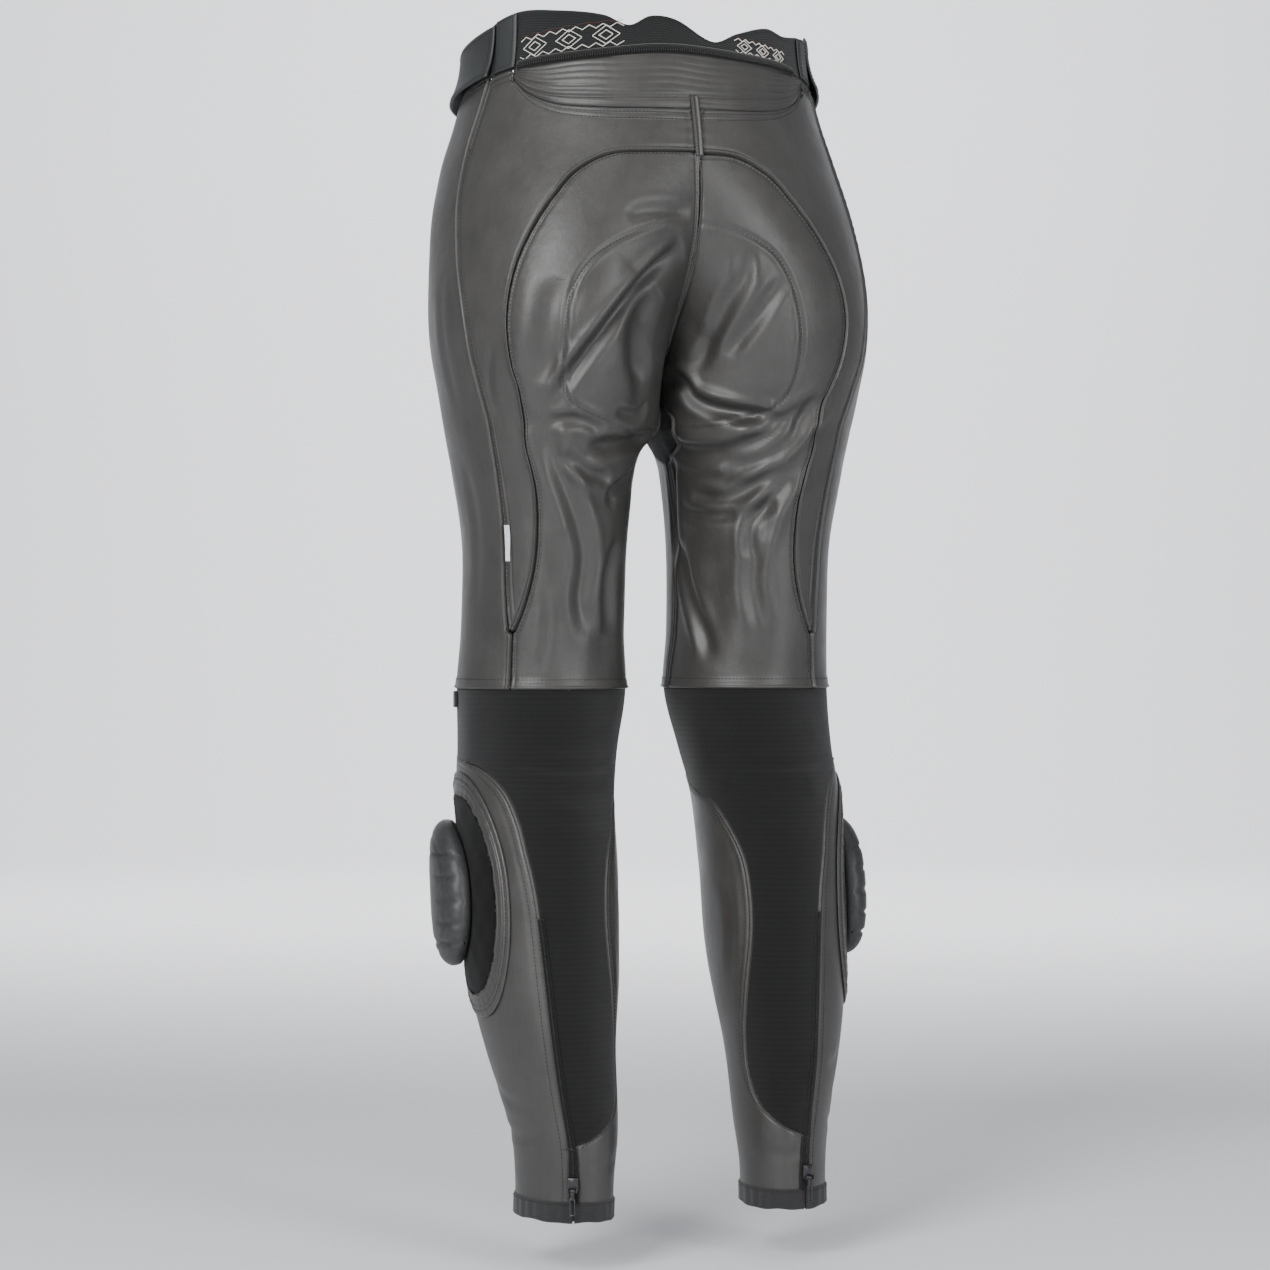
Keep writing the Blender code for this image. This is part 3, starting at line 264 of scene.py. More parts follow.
def table_at(table, height):
    """Columns of a table at heights: a smooth curve through its rows, top to bottom."""
    data = np.array(table, float)
    z, values = data[:, 0], data[:, 1:]
    height = np.clip(np.asarray(height, float), z[-1], z[0])
    k = np.clip(np.searchsorted(-z, -height, side="right") - 1, 0, len(z) - 2)
    span = (z[k + 1] - z[k])[..., None]
    t = (height - z[k])[..., None] / span
    p0, p1 = values[k], values[k + 1]
    low, high = np.maximum(k - 1, 0), np.minimum(k + 2, len(z) - 1)
    m0 = (p1 - values[low]) / (z[k + 1] - z[low])[..., None] * span
    m1 = (values[high] - p0) / (z[high] - z[k])[..., None] * span
    h1 = t * t * (3 - 2 * t)
    result = (1 - h1) * p0 + h1 * p1 + t * (1 - t) * ((1 - t) * m0 - t * m1)
    return np.moveaxis(result, -1, 0)


def curve_through(points, at, corners=()):
    """Points at parameters of a smooth curve through a list, with sharp corners where named."""
    points = np.array(points, float)
    at = np.clip(np.asarray(at, float), 0, len(points) - 1)
    k = np.minimum(at.astype(int), len(points) - 2)
    t = (at - k)[:, None]
    sharp = np.zeros(len(points), bool)
    sharp[[0, len(points) - 1, *corners]] = True
    p0, p1 = points[k], points[k + 1]
    before, after = points[np.maximum(k - 1, 0)], points[np.minimum(k + 2, len(points) - 1)]
    m0 = np.where(sharp[k][:, None], p1 - p0, (p1 - before) / 2)
    m1 = np.where(sharp[k + 1][:, None], p1 - p0, (after - p0) / 2)
    h1 = t * t * (3 - 2 * t)
    return p0 * (1 - h1) + p1 * h1 + (m0 * (1 - t) - m1 * t) * (t * (1 - t))


def seam(side, points, rows, turned=True):
    """A seam as rows + 1 (angle, height) pairs, evenly spaced along the cloth."""
    fine = curve_through(points, np.linspace(0, len(points) - 1, 16 * (len(points) - 1) + 1))
    steps = np.hypot(np.diff(fine[:, 0]) * METRE_PER_DEGREE, np.diff(fine[:, 1]))
    length = np.concatenate([[0], np.cumsum(steps)])
    at = np.linspace(0, length[-1], rows + 1)
    angle, height = np.interp(at, length, fine[:, 0]), np.interp(at, length, fine[:, 1])
    if side < 0 and turned:
        angle = angle + table_at(RIGHT_TURN, height)[0]
    return [(float(a), float(z)) for a, z in zip(angle, height)]


def middle_edge(height, front):
    """Angle at which the half section meets the middle plane."""
    parting = table_at(PARTING, height)[0 if front else 1]
    angle = np.degrees(np.arccos(-np.clip(parting, 0, 1)))
    return np.where(np.asarray(height) <= CROTCH_Z, 180.0, angle)


def middle_line(heights, front):
    """Edge on the middle plane at each height."""
    sign = -1 if front else 1
    return [(sign * float(middle_edge(z, front)), float(z)) for z in heights]


def even(start, end, count):
    return [start + (end - start) * i / count for i in range(count + 1)]


# The cloth's surface


def base_points(side, angle, height):
    """Points of the smooth body, with no folds. side is 1 on the wearer's left."""
    angle, height = np.broadcast_arrays(np.asarray(angle, float), np.asarray(height, float))
    angle = (angle + 180.0) % 360.0 - 180.0
    half_width, centre, front_y, back_y = table_at(BODY, height)
    toes_out, rise = table_at(STANCE, height)
    inner = table_at(INNER_LEG, height)[0]
    parting = table_at(PARTING, height)
    front = angle < 0
    part = np.clip(np.where(front, parting[0], parting[1]), 0, 1)
    leg = height <= CROTCH_Z
    radius = np.where(leg, (half_width - inner) / 2, half_width / (1 + part))
    middle = np.where(leg, (half_width + inner) / 2, half_width * part / (1 + part))
    depth = np.where(front, centre - front_y, back_y - centre)
    a, twist = np.radians(angle), np.radians(toes_out)
    dx, dy = radius * np.cos(a), depth * np.sin(a)
    x = middle + dx * np.cos(twist) - dy * np.sin(twist)
    y = centre + dx * np.sin(twist) + dy * np.cos(twist)
    return np.stack([side * x, y, height + rise * (y - centre)], axis=-1)


def unit(vectors):
    return vectors / np.maximum(np.linalg.norm(vectors, axis=-1, keepdims=True), 1e-12)


def base_normals(side, angle, height):
    """Outward normals of the smooth body."""
    along = base_points(side, angle + 1, height) - base_points(side, angle - 1, height)
    down = base_points(side, angle, height - 0.003) - base_points(side, angle, height + 0.003)
    return unit(np.cross(down, along) * side)


def fold_line(side, row, count=25):
    """Sample points along a fold of a table."""
    _, a0, z0, a1, z1, a2, z2, _, _ = row
    t = np.linspace(0, 1, count)
    u, v, w = (1 - t) ** 2, 2 * t * (1 - t), t * t
    angle = u * a0 + v * (2 * a1 - (a0 + a2) / 2) + w * a2
    height = u * z0 + v * (2 * z1 - (z0 + z2) / 2) + w * z2
    return base_points(side, angle, height), np.sin(np.pi * t) ** 0.6


def fold_depth(side, points, table, bulge):
    """How far a table's folds push the cloth in, with a soft ridge of a share of that beside each."""
    flat = points.reshape(-1, 3)
    total = np.zeros(len(flat))
    for row in table:
        if row[0] not in (0, side):
            continue
        width, depth = row[-2:]
        line, taper = fold_line(side, row)
        near = np.ones(len(flat), bool)
        for axis in range(3):
            near &= (flat[:, axis] > line[:, axis].min() - 4 * width)
            near &= (flat[:, axis] < line[:, axis].max() + 4 * width)
        if not near.any():
            continue
        chosen = flat[near]
        best = np.full(len(chosen), 1e9)
        strength = np.zeros(len(chosen))
        for p, q, s0, s1 in zip(line, line[1:], taper, taper[1:]):
            step = q - p
            t = np.clip(((chosen - p) @ step) / (step @ step), 0, 1)
            gap = np.linalg.norm(chosen - (p + t[:, None] * step), axis=1)
            closer = gap < best
            best[closer] = gap[closer]
            strength[closer] = (s0 + (s1 - s0) * t)[closer]
        d = best / width
        total[near] += depth * strength * (np.exp(-d ** 2) - bulge * np.exp(-(d - 1.9) ** 2))
    return total.reshape(points.shape[:-1])


def drawn_line(side, corners, per_part=9):
    """Smooth line through angles and heights on the body: its points and the ways out."""
    path = curve_through(corners, np.linspace(0, len(corners) - 1, per_part * (len(corners) - 1) + 1))
    return base_points(side, path[:, 0], path[:, 1]), base_normals(side, path[:, 0], path[:, 1])


def drawn_depth(side, points, rows):
    """How far drawn creases push the cloth in; each fades out towards both of its ends."""
    flat = points.reshape(-1, 3)
    total = np.zeros(len(flat))
    for row_side, corners, width, depth, ridge_left, ridge_right in rows:
        if row_side not in (0, side):
            continue
        line, out = drawn_line(side, corners)
        reach = 4 * width
        near = np.all((flat > line.min(axis=0) - reach) & (flat < line.max(axis=0) + reach), axis=1)
        if not near.any():
            continue
        steps = np.diff(line, axis=0)
        run = np.concatenate([[0], np.cumsum(np.linalg.norm(steps, axis=1))])
        fade = np.sin(np.pi / 2 * np.clip(np.minimum(run, run[-1] - run) / (0.24 * run[-1]), 0, 1))
        chosen = flat[near]
        best = np.full(len(chosen), 1e9)
        strength = np.zeros(len(chosen))
        left = np.zeros(len(chosen), bool)
        for p, way, step, s0, s1 in zip(line, out, steps, fade, fade[1:]):
            t = np.clip(((chosen - p) @ step) / (step @ step), 0, 1)
            off = chosen - (p + t[:, None] * step)
            gap = np.linalg.norm(off, axis=1)
            closer = gap < best
            best[closer] = gap[closer]
            strength[closer] = (s0 + (s1 - s0) * t)[closer]
            left[closer] = (off @ np.cross(way, step) > 0)[closer]
        d = best / width
        ridge = np.where(left, ridge_left, ridge_right) * (1 - np.exp(-d ** 2))
        total[near] += depth * strength * (np.exp(-d ** 2) - ridge * np.exp(-((d - 1.7) / 0.8) ** 2))
    return total.reshape(points.shape[:-1])


def soft_noise(points, size, seed):
    """Smooth uneven waves of about one size, from -1 to 1."""
    random = np.random.default_rng(seed)
    total = np.zeros(points.shape[:-1])
    for _ in range(7):
        way = unit(random.normal(size=3)) * (2 * math.pi / size) * random.uniform(0.7, 1.4)
        total += np.sin(points @ way + random.uniform(0, 2 * math.pi))
    return total / 7 ** 0.5 / 1.6


def pad_relief(side, angle, height):
    """Trough of the line of stitches round the seat's padding, with the cloth swelling inside it."""
    points = base_points(side, angle, height)
    inside = 1 if side < 0 else 0
    ridges = (0.75 * (1 - inside) + 0.2 * inside, 0.75 * inside + 0.2 * (1 - inside))
    return -drawn_depth(side, points, [(side, SEAT_LINES[side], 0.0020, 0.0016, *ridges)])


def cloth(side, angle, height, lift=0.0, fine=1.0):
    """Points of the folded cloth, lifted outwards, and the ways out."""
    points = base_points(side, angle, height)
    normals = base_normals(side, angle, height)
    sink = fold_depth(side, points, FOLDS, 0.0)
    sink = sink + fine * fold_depth(side, points, CREASES, 0.35)
    sink = sink + fine * drawn_depth(side, points, SEEN_CREASES)
    wave = fine * 0.00045 * soft_noise(points, 0.055, 3)
    out = points + normals * (lift - sink + wave)[..., None]
    return out, normals


# Meshes


def grid_mesh(name, points, uv, cyclic=False):
    """Mesh of a grid of points, from a bmesh grid whose vertices are put in place."""
    rows, cols = points.shape[0] - 1, points.shape[1] - 1
    maker = bmesh.new()
    bmesh.ops.create_grid(maker, x_segments=cols, y_segments=rows, size=1.0, calc_uvs=True)
    maker.verts.ensure_lookup_table()
    places = np.array([vert.co[:2] for vert in maker.verts])
    j = np.rint((places[:, 0] + 1) / 2 * cols).astype(int)
    i = np.rint((places[:, 1] + 1) / 2 * rows).astype(int)
    mesh = bpy.data.meshes.new(name)
    maker.to_mesh(mesh)
    maker.free()
    mesh.vertices.foreach_set("co", points[i, j].astype(np.float32).ravel())
    layer = mesh.uv_layers.active or mesh.uv_layers.new(name="Cloth")
    corner = np.empty(len(mesh.loops), np.int32)
    mesh.loops.foreach_get("vertex_index", corner)
    layer.data.foreach_set("uv", uv[i, j][corner].astype(np.float32).ravel())
    if cyclic:
        maker = bmesh.new()
        maker.from_mesh(mesh)
        bmesh.ops.remove_doubles(maker, verts=maker.verts, dist=1e-5)
        maker.to_mesh(mesh)
        maker.free()
    mesh.update()
    return mesh


def face_out(mesh, points, normals):
    """Turn a mesh's faces so that they look along the given ways out."""
    face = mesh.polygons[len(mesh.polygons) // 2]
    centre = np.array(face.center)
    nearest = np.argmin(np.linalg.norm(points.reshape(-1, 3) - centre, axis=1))
    if np.dot(np.array(face.normal), normals.reshape(-1, 3)[nearest]) < 0:
        mesh.flip_normals()


def add_piece(name, mesh, finish, body="root", smooth=True):
    """Object at the origin that rides on a body, with its finish."""
    made = bpy.data.objects.new(name, mesh)
    bpy.context.scene.collection.objects.link(made)
    mesh.materials.clear()
    mesh.materials.append(bpy.data.materials[finish])
    if smooth:
        mesh.shade_smooth()
    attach(made, body)
    return made


def thicken(piece, thick, offset=-1.0):
    """Wall of a sheet, inwards from its outer face."""
    wall = piece.modifiers.new("Wall", "SOLIDIFY")
    wall.thickness = thick
    wall.offset = offset
    wall.use_rim = True


def cut_size(points):
    """Width, length and area of a grid of points laid flat."""
    across = np.linalg.norm(np.diff(points, axis=1), axis=2).sum(axis=1)
    along = np.linalg.norm(np.diff(points, axis=0), axis=2).sum(axis=0)
    one = np.linalg.norm(np.cross(points[1:, 1:] - points[:-1, :-1], points[1:, :-1] - points[:-1, 1:]), axis=2)
    return float(across.max()), float(along.max()), float(one.sum() / 2)


def declare(points, stretch=1.0):
    """Work out a piece's flat cut, which is then not kept; stretch is how much longer the worn cloth is than its cut.

    Trim narrower than 10 mm isn't cut cloth and has no flat size.
    """
    width, length, area = cut_size(points)
    if min(width, length) < 0.0101:
        return
    area = min(area / stretch, width * length)


# Panels between two seams

BORDER = np.array([0.0, 0.0005, 0.0011, 0.0018, 0.0026, 0.0034, 0.0043, 0.0054, 0.0070])
SPACING = 0.0036


def edge_relief(d, along, kind):
    """Height of the cloth near an edge at distance d, for one kind of edge."""
    if kind == "none":
        return np.zeros_like(d)
    if kind == "knit":
        return -0.0007 * np.exp(-(d / 0.0011) ** 2)
    if kind == "hem":
        step = 0.0010 / (1 + np.exp(np.clip((d - 0.0095) / 0.0006, -30, 30)))
        ridge = 0.0012 * np.exp(-((d - 0.0018) / 0.0014) ** 2)
        return step + ridge - 0.0012 * np.exp(-(d / 0.0007) ** 2) - 0.0009 * np.exp(-((d - 0.0088) / 0.0010) ** 2)
    pucker = 0.00022 * np.sin(along * 2 * math.pi / 0.0115 + 2 * np.sin(along * 31)) * np.exp(-(d / 0.007) ** 2)
    roll = -0.0022 * np.exp(-(d / 0.0013) ** 2)
    channel = -0.0008 * np.exp(-((d - 0.0044) / 0.0010) ** 2)
    if kind == "welt":
        return roll + pucker + channel + 0.0022 * np.exp(-((d - 0.0022) / 0.0012) ** 2)
    if kind == "double":
        return roll + pucker + channel - 0.0007 * np.exp(-((d - 0.0105) / 0.0010) ** 2)
    return roll + pucker + channel


def spaced(length, spacing):
    """Distances from 0 to a length, close together near both ends."""
    border = BORDER * min(1.0, length / (2.6 * BORDER[-1]))
    inner = max(2, int(round((length - 2 * border[-1]) / spacing)))
    middle = np.linspace(border[-1], length - border[-1], inner + 1)[1:-1]
    return np.concatenate([border, middle, length - border[::-1]])


def row_lengths(first, last):
    """Length along a panel at each of its rows."""
    first, last = np.array(first), np.array(last)
    steps = [np.hypot(np.diff(c[:, 0]) * METRE_PER_DEGREE, np.diff(c[:, 1])) for c in (first, last)]
    return np.concatenate([[0], np.cumsum((steps[0] + steps[1]) / 2)])


def panel_grid(side, first, last, corners=((), ()), spacing=SPACING):
    """Angles and heights of a panel's fine grid, with the distances to its four edges."""
    along_rows = row_lengths(first, last)
    along = spaced(along_rows[-1], spacing)
    at = np.interp(along, along_rows, np.arange(len(along_rows)))
    start = curve_through(first, at, corners[0])
    end = curve_through(last, at, corners[1])
    shares = np.linspace(0, 1, 13)[None, :, None]
    path = start[:, None] + (end - start)[:, None] * shares
    points = base_points(side, path[..., 0], path[..., 1])
    width = np.linalg.norm(np.diff(points, axis=1), axis=2).sum(axis=1)
    columns = spaced(width.max(), spacing)
    border = len(BORDER)
    share = np.empty((len(along), len(columns)))
    inner = np.linspace(0, 1, len(columns) - 2 * border + 2)
    for i, w in enumerate(width):
        edge = BORDER / max(w, 2.6 * BORDER[-1])
        middle = edge[-1] + (1 - 2 * edge[-1]) * inner
        share[i] = np.concatenate([edge, middle[1:-1], 1 - edge[::-1]])
    angle = start[:, :1] + (end[:, :1] - start[:, :1]) * share
    height = start[:, 1:] + (end[:, 1:] - start[:, 1:]) * share
    down = np.repeat(along[:, None], len(columns), axis=1)
    edges = {
        "first_row": down,
        "last_row": along[-1] - down,
        "first_col": share * width[:, None],
        "last_col": (1 - share) * width[:, None],
        "along": down,
    }
    return angle, height, edges


def cloth_panel(name, node, finish, side, first, last, kinds, thick=LEATHER, corners=((), ()),
                lift=0.0, extra=None, spacing=SPACING, stretch=1.0):
    """Thin shell of one cut piece. kinds are its edges: first row, last row, first column, last column."""
    angle, height, edges = panel_grid(side, first, last, corners, spacing)
    relief = np.zeros_like(angle)
    names = ("first_row", "last_row", "first_col", "last_col")
    for kind, edge in zip(kinds, names):
        run = edges["first_col"] if edge.endswith("row") else edges["along"]
        relief = relief + edge_relief(edges[edge], run, kind)
    if extra is not None:
        relief = relief + extra(side, angle, height)
    points, normals = cloth(side, angle, height, lift)
    points = points + normals * relief[..., None]
    points = pull_edges(points, normals, side)
    uv = np.stack([edges["first_col"], edges["along"]], axis=-1)
    mesh = grid_mesh(name, points, uv)
    face_out(mesh, points, normals)
    piece = add_piece(name, mesh, finish)
    thicken(piece, thick)
    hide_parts(node)
    declare(points, stretch=stretch)
    STITCHED[name] = (points, normals, edges)
    return piece


STITCHED = {}


def pull_edges(points, normals, side):
    """Hold a panel's edges a little inside its seams; at the middle they meet."""
    moved = points.copy()
    for axis, end, inside in ((0, 0, 1), (0, -1, -2), (1, 0, 1), (1, -1, -2)):
        edge = np.take(points, end, axis)
        way = unit(np.take(points, inside, axis) - edge)
        index = [slice(None), slice(None)]
        index[axis] = end
        moved[tuple(index)] += way * SEAM_HALF
    across = side * moved[..., 0]
    moved[..., 0] = side * np.where(across < 2.5 * SEAM_HALF, 0.0, across)
    return moved


def side_name(side):
    return "left" if side > 0 else "right"


def lumbar_edge(side):
    line = seam(side, LUMBAR_EDGE, TOP_ROWS - 2)
    line[0] = (90.0, LUMBAR_EDGE[0][1])
    return line


def upper_lines(side):
    """The seams of one half above the knee."""
    side_line = seam(side, SIDE_SEAM, SIDE_ROWS)
    arch_line = seam(side, ARCH_SEAM, TOP_ROWS + SIDE_ROWS)
    arch_line[0] = (float(middle_edge(ARCH_Z, False)), ARCH_Z)
    hem_line = seam(side, HEM_SEAM, HEM_ROWS)
    back_gusset = seam(side, GUSSET_BACK_EDGE, GUSSET_ROWS, turned=False)
    gusset_line = back_gusset + seam(side, GUSSET_FRONT_EDGE, GUSSET_ROWS, turned=False)[1:]
    return side_line, arch_line, hem_line, gusset_line


def band_rise(side, angle, height):
    """Keeps the yoke's top edge out at the waistband, where the seam would roll it in."""
    return 0.0021 * np.exp(-((WAIST_Z - height) / 0.0016) ** 2)


def make_upper(side):
    """Yoke with side strip, seat, front and gusset of one half."""
    name = side_name(side)
    side_line, arch_line, hem_line, gusset_line = upper_lines(side)
    lumbar_line = lumbar_edge(side)
    yoke_top = lumbar_line + [(lumbar_line[-1][0] - 0.5, WAIST_Z)]
    outer = yoke_top + side_line
    corner = (len(lumbar_line) - 1, len(lumbar_line), len(yoke_top))
    cloth_panel(f"yoke_cloth_{name}", f"yoke_side_{name}", "Leather", side, outer, arch_line,
                ("seam", "seam", "double", "welt"), corners=(corner, ()), spacing=0.0038, extra=band_rise)

    back_gusset = gusset_line[:GUSSET_ROWS + 1]
    front_gusset = [(a - 360, z) for a, z in reversed(gusset_line[GUSSET_ROWS:])]
    back_rows = len(arch_line) + len(hem_line)
    centre_rows = back_rows - INSEAM_ROWS - len(back_gusset)
    rise = middle_line(even(ARCH_Z - CORNER_DROP, GUSSET_BACK_Z, centre_rows - 1), False)
    corner_turn = min(CORNER_TURN, (arch_line[0][0] - arch_line[1][0]) / 2)
    seat_side = [(arch_line[0][0] - corner_turn, ARCH_Z)] + arch_line[1:] + hem_line
    inseam = [(180.0, z) for z in even(back_gusset[-1][1], KNEE_HEM_Z, INSEAM_ROWS)[1:]]
    corners = ((centre_rows - 1, centre_rows, centre_rows + 7), (len(arch_line) - 1, len(arch_line)))
    cloth_panel(f"seat_cloth_{name}", f"seat_{name}", "Leather", side,
                rise + back_gusset + inseam, seat_side, ("none", "hem", "welt", "seam"),
                corners=corners, extra=pad_relief, spacing=0.0026)

    front_rows = len(side_line) + len(hem_line)
    centre_rows = front_rows - INSEAM_ROWS - len(front_gusset)
    rise = middle_line(even(WAIST_Z, GUSSET_FRONT_Z, centre_rows - 1), True)
    inseam = [(-180.0, z) for z in even(front_gusset[-1][1], KNEE_HEM_Z, INSEAM_ROWS)[1:]]
    corners = ((centre_rows - 1, centre_rows, centre_rows + 7), (len(side_line) - 1, len(side_line)))
    cloth_panel(f"front_cloth_{name}", f"front_{name}", "Leather", side,
                rise + front_gusset + inseam, side_line + hem_line, ("seam", "hem", "seam", "welt"),
                corners=corners, spacing=0.0050)

    back_mid = middle_line(even(GUSSET_BACK_Z, CROTCH_Z, GUSSET_ROWS), False)
    front_mid = [(360 + a, z) for a, z in middle_line(even(CROTCH_Z, GUSSET_FRONT_Z, GUSSET_ROWS), True)]
    cloth_panel(f"gusset_cloth_{name}", f"gusset_{name}", "Knit", side, back_mid + front_mid[1:],
                gusset_line, ("none", "none", "none", "none"), thick=KNIT, spacing=0.004,
                lift=-0.0004)


def lower_lines(side):
    """The seams of one leg below the knee hem, with the row at which the calf panels start."""
    outer_line = seam(side, KNIT_OUTER, SHIN_ROWS)
    inner_line = seam(side, KNIT_INNER, SHIN_ROWS)
    zip_line = seam(side, ZIP_LOW, 2)
    start = 2
    outer_rear = outer_line[start:] + zip_line
    shin_line = seam(side, SHIN_OUTER, len(outer_rear) - 1)
    shin_line[0] = (outer_rear[0][0] - 6, outer_rear[0][1] - 0.001)
    inner_rear = inner_line[start:] + zip_line
    inner_front = seam(side, SHIN_INNER, len(inner_rear) - 1)
    inner_front[0] = (inner_rear[0][0] + 5, inner_rear[0][1] - 0.001)
    return outer_line, inner_line, zip_line, start, outer_rear, shin_line, inner_rear, inner_front


def make_lower(side):
    """Knit, calf and shin panels of one leg."""
    name = side_name(side)
    outer_line, inner_line, zip_line, start, outer_rear, shin_line, inner_rear, inner_front = lower_lines(side)
    cloth_panel(f"knit_cloth_{name}", f"knit_calf_{name}", "Knit", side, outer_line, inner_line,
                ("none", "none", "knit", "knit"), thick=KNIT, lift=-0.0005,
                stretch=1.08, spacing=0.0050)
    joint = len(outer_rear) - len(zip_line)
    cloth_panel(f"calf_outer_cloth_{name}", f"calf_outer_{name}", "Leather", side, shin_line,
                outer_rear, ("seam", "none", "seam", "double"), corners=((), (joint,)))
    joint = len(inner_rear) - len(zip_line)
    cloth_panel(f"calf_inner_cloth_{name}", f"calf_inner_{name}", "Leather", side, inner_rear,
                inner_front, ("seam", "none", "double", "seam"), corners=((joint,), ()))
    front_outer = outer_line[:start + 1] + shin_line
    front_inner = [(a - 360, z) for a, z in inner_line[:start + 1] + inner_front]
    cloth_panel(f"shin_cloth_{name}", f"shin_{name}", "Leather", side, front_inner, front_outer,
                ("none", "none", "seam", "seam"), corners=((start, start + 1), (start, start + 1)),
                spacing=0.0044)


# Sewing

SEWN = []


def edge_line(name, edge, distance, low=-2.0, high=1.0):
    """Line on a panel at a distance from one edge, between two heights, with its ways out."""
    points, normals, edges = STITCHED[name]
    gaps = edges[edge]
    if edge.endswith("row"):
        points, normals, gaps = points.swapaxes(0, 1), normals.swapaxes(0, 1), gaps.T
    line, ways = [], []
    for row, way, gap in zip(points, normals, gaps):
        if gap.max() < 2.3 * distance:
            continue
        order = np.argsort(gap)
        place = np.array([np.interp(distance, gap[order], row[order, k]) for k in range(3)])
        if low < place[2] < high:
            line.append(place)
            ways.append([np.interp(distance, gap[order], way[order, k]) for k in range(3)])
    return np.array(line), unit(np.array(ways))


def sew(line, ways, pitch=None, into=SEWN):
    """Note where each stitch along a line goes: its middle, its run and its way out."""
    if len(line) < 3:
        return
    pitch = pitch or bpy.context.scene.trousers_sizes.stitch_pitch
    steps = np.linalg.norm(np.diff(line, axis=0), axis=1)
    length = np.concatenate([[0], np.cumsum(steps)])
    at = np.arange(pitch / 2, length[-1], pitch)
    place = np.stack([np.interp(at, length, line[:, k]) for k in range(3)], axis=1)
    ahead = np.stack([np.interp(at + 0.4 * pitch, length, line[:, k]) for k in range(3)], axis=1)
    behind = np.stack([np.interp(at - 0.4 * pitch, length, line[:, k]) for k in range(3)], axis=1)
    out = unit(np.stack([np.interp(at, length, ways[:, k]) for k in range(3)], axis=1))
    into.append((place, unit(ahead - behind), out))


def unit_shape(kind, segments, rings=3):
    """Small shape that is repeated: a bead along X or a cube, 2 units long each way."""
    maker = bmesh.new()
    if kind == "bead":
        bmesh.ops.create_uvsphere(maker, u_segments=segments, v_segments=rings, radius=1.0)
        bmesh.ops.rotate(maker, verts=maker.verts, matrix=Matrix.Rotation(math.pi / 2, 3, "Y"))
    else:
        bmesh.ops.create_cube(maker, size=2.0)
        bmesh.ops.bevel(maker, geom=maker.edges[:], offset=0.35, segments=1, affect="EDGES",
                        profile=0.5, material=-1)
    mesh = bpy.data.meshes.new("unit shape")
    maker.to_mesh(mesh)
    maker.free()
    return mesh


def repeated_mesh(name, one, places, axes):
    """Joined mesh of a small shape at places; axes are its three directions with their sizes."""
    shape = np.empty(len(one.vertices) * 3, np.float32)
    one.vertices.foreach_get("co", shape)
    shape = shape.reshape(-1, 3)
    corners = np.empty(len(one.loops), np.int32)
    one.loops.foreach_get("vertex_index", corners)
    starts = np.empty(len(one.polygons), np.int32)
    one.polygons.foreach_get("loop_start", starts)
    count = len(places)
    points = places[:, None, :] + np.einsum("vk,nkc->nvc", shape, axes)
    mesh = bpy.data.meshes.new(name)
    mesh.vertices.add(count * len(shape))
    mesh.vertices.foreach_set("co", points.astype(np.float32).ravel())
    shift = np.arange(count, dtype=np.int32)[:, None]
    mesh.loops.add(count * len(corners))
    mesh.loops.foreach_set("vertex_index", (corners[None] + shift * len(shape)).ravel())
    mesh.polygons.add(count * len(starts))
    mesh.polygons.foreach_set("loop_start", (starts[None] + shift * len(corners)).ravel())
    mesh.update(calc_edges=True)
    bpy.data.meshes.remove(one)
    return mesh


def make_thread(name, finish, sizes, sewn, sunk=0.25):
    """Threads of noted stitches; sizes are half the length and the radius."""
    place, run, out = (np.concatenate([one[k] for one in sewn]) for k in range(3))
    across = unit(np.cross(out, run))
    out = unit(np.cross(run, across))
    half, radius = sizes
    axes = np.stack([run * half, across * radius, out * radius], axis=1)
    place = place + out * radius * (1 - 2 * sunk)
    mesh = repeated_mesh(name, unit_shape("bead", 5), place, axes)
    return add_piece(name, mesh, finish)


def sew_panels(side):
    """Topstitching along the seams of one half."""
    name = side_name(side)
    yoke, seat = f"yoke_cloth_{name}", f"seat_cloth_{name}"
    sew(*edge_line(yoke, "last_col", 0.0036, low=-0.47))
    sew(*edge_line(yoke, "first_col", 0.0036, low=-0.47, high=-0.066))
    line, ways = edge_line(yoke, "first_col", 0.0044, low=-0.074)
    sew(line, ways)
    sew(*edge_line(yoke, "first_col", 0.0105, low=-0.080))
    sew(*edge_line(seat, "last_col", 0.0036, low=-0.525))
    sew(*edge_line(seat, "first_col", 0.0036, low=-0.280))
    sew(*edge_line(seat, "last_row", 0.0088))
    sew(*edge_line(f"front_cloth_{name}", "last_row", 0.0088))
    sew(*edge_line(f"front_cloth_{name}", "last_col", 0.0036, low=-0.525))
    outer, inner = f"calf_outer_cloth_{name}", f"calf_inner_cloth_{name}"
    sew(*edge_line(outer, "last_col", 0.0042))
    sew(*edge_line(outer, "last_col", 0.0105, high=-0.61))
    sew(*edge_line(inner, "first_col", 0.0038))
    sew(*edge_line(inner, "first_col", 0.0088, low=-0.925))
    sew(*edge_line(f"shin_cloth_{name}", "last_col", 0.0036, low=-0.94, high=-0.61))
    sew(*edge_line(f"shin_cloth_{name}", "first_col", 0.0036, low=-0.94, high=-0.61))
    corners = SEAT_LINES[side]
    path = curve_through(corners, np.linspace(0, len(corners) - 1, 40 * (len(corners) - 1)))
    path = path[path[:, 0] < middle_edge(path[:, 1], False) - 3]
    sew(*cloth(side, path[:, 0], path[:, 1], lift=-0.0014))


# Knee

PAD_DEGREE = 0.0022


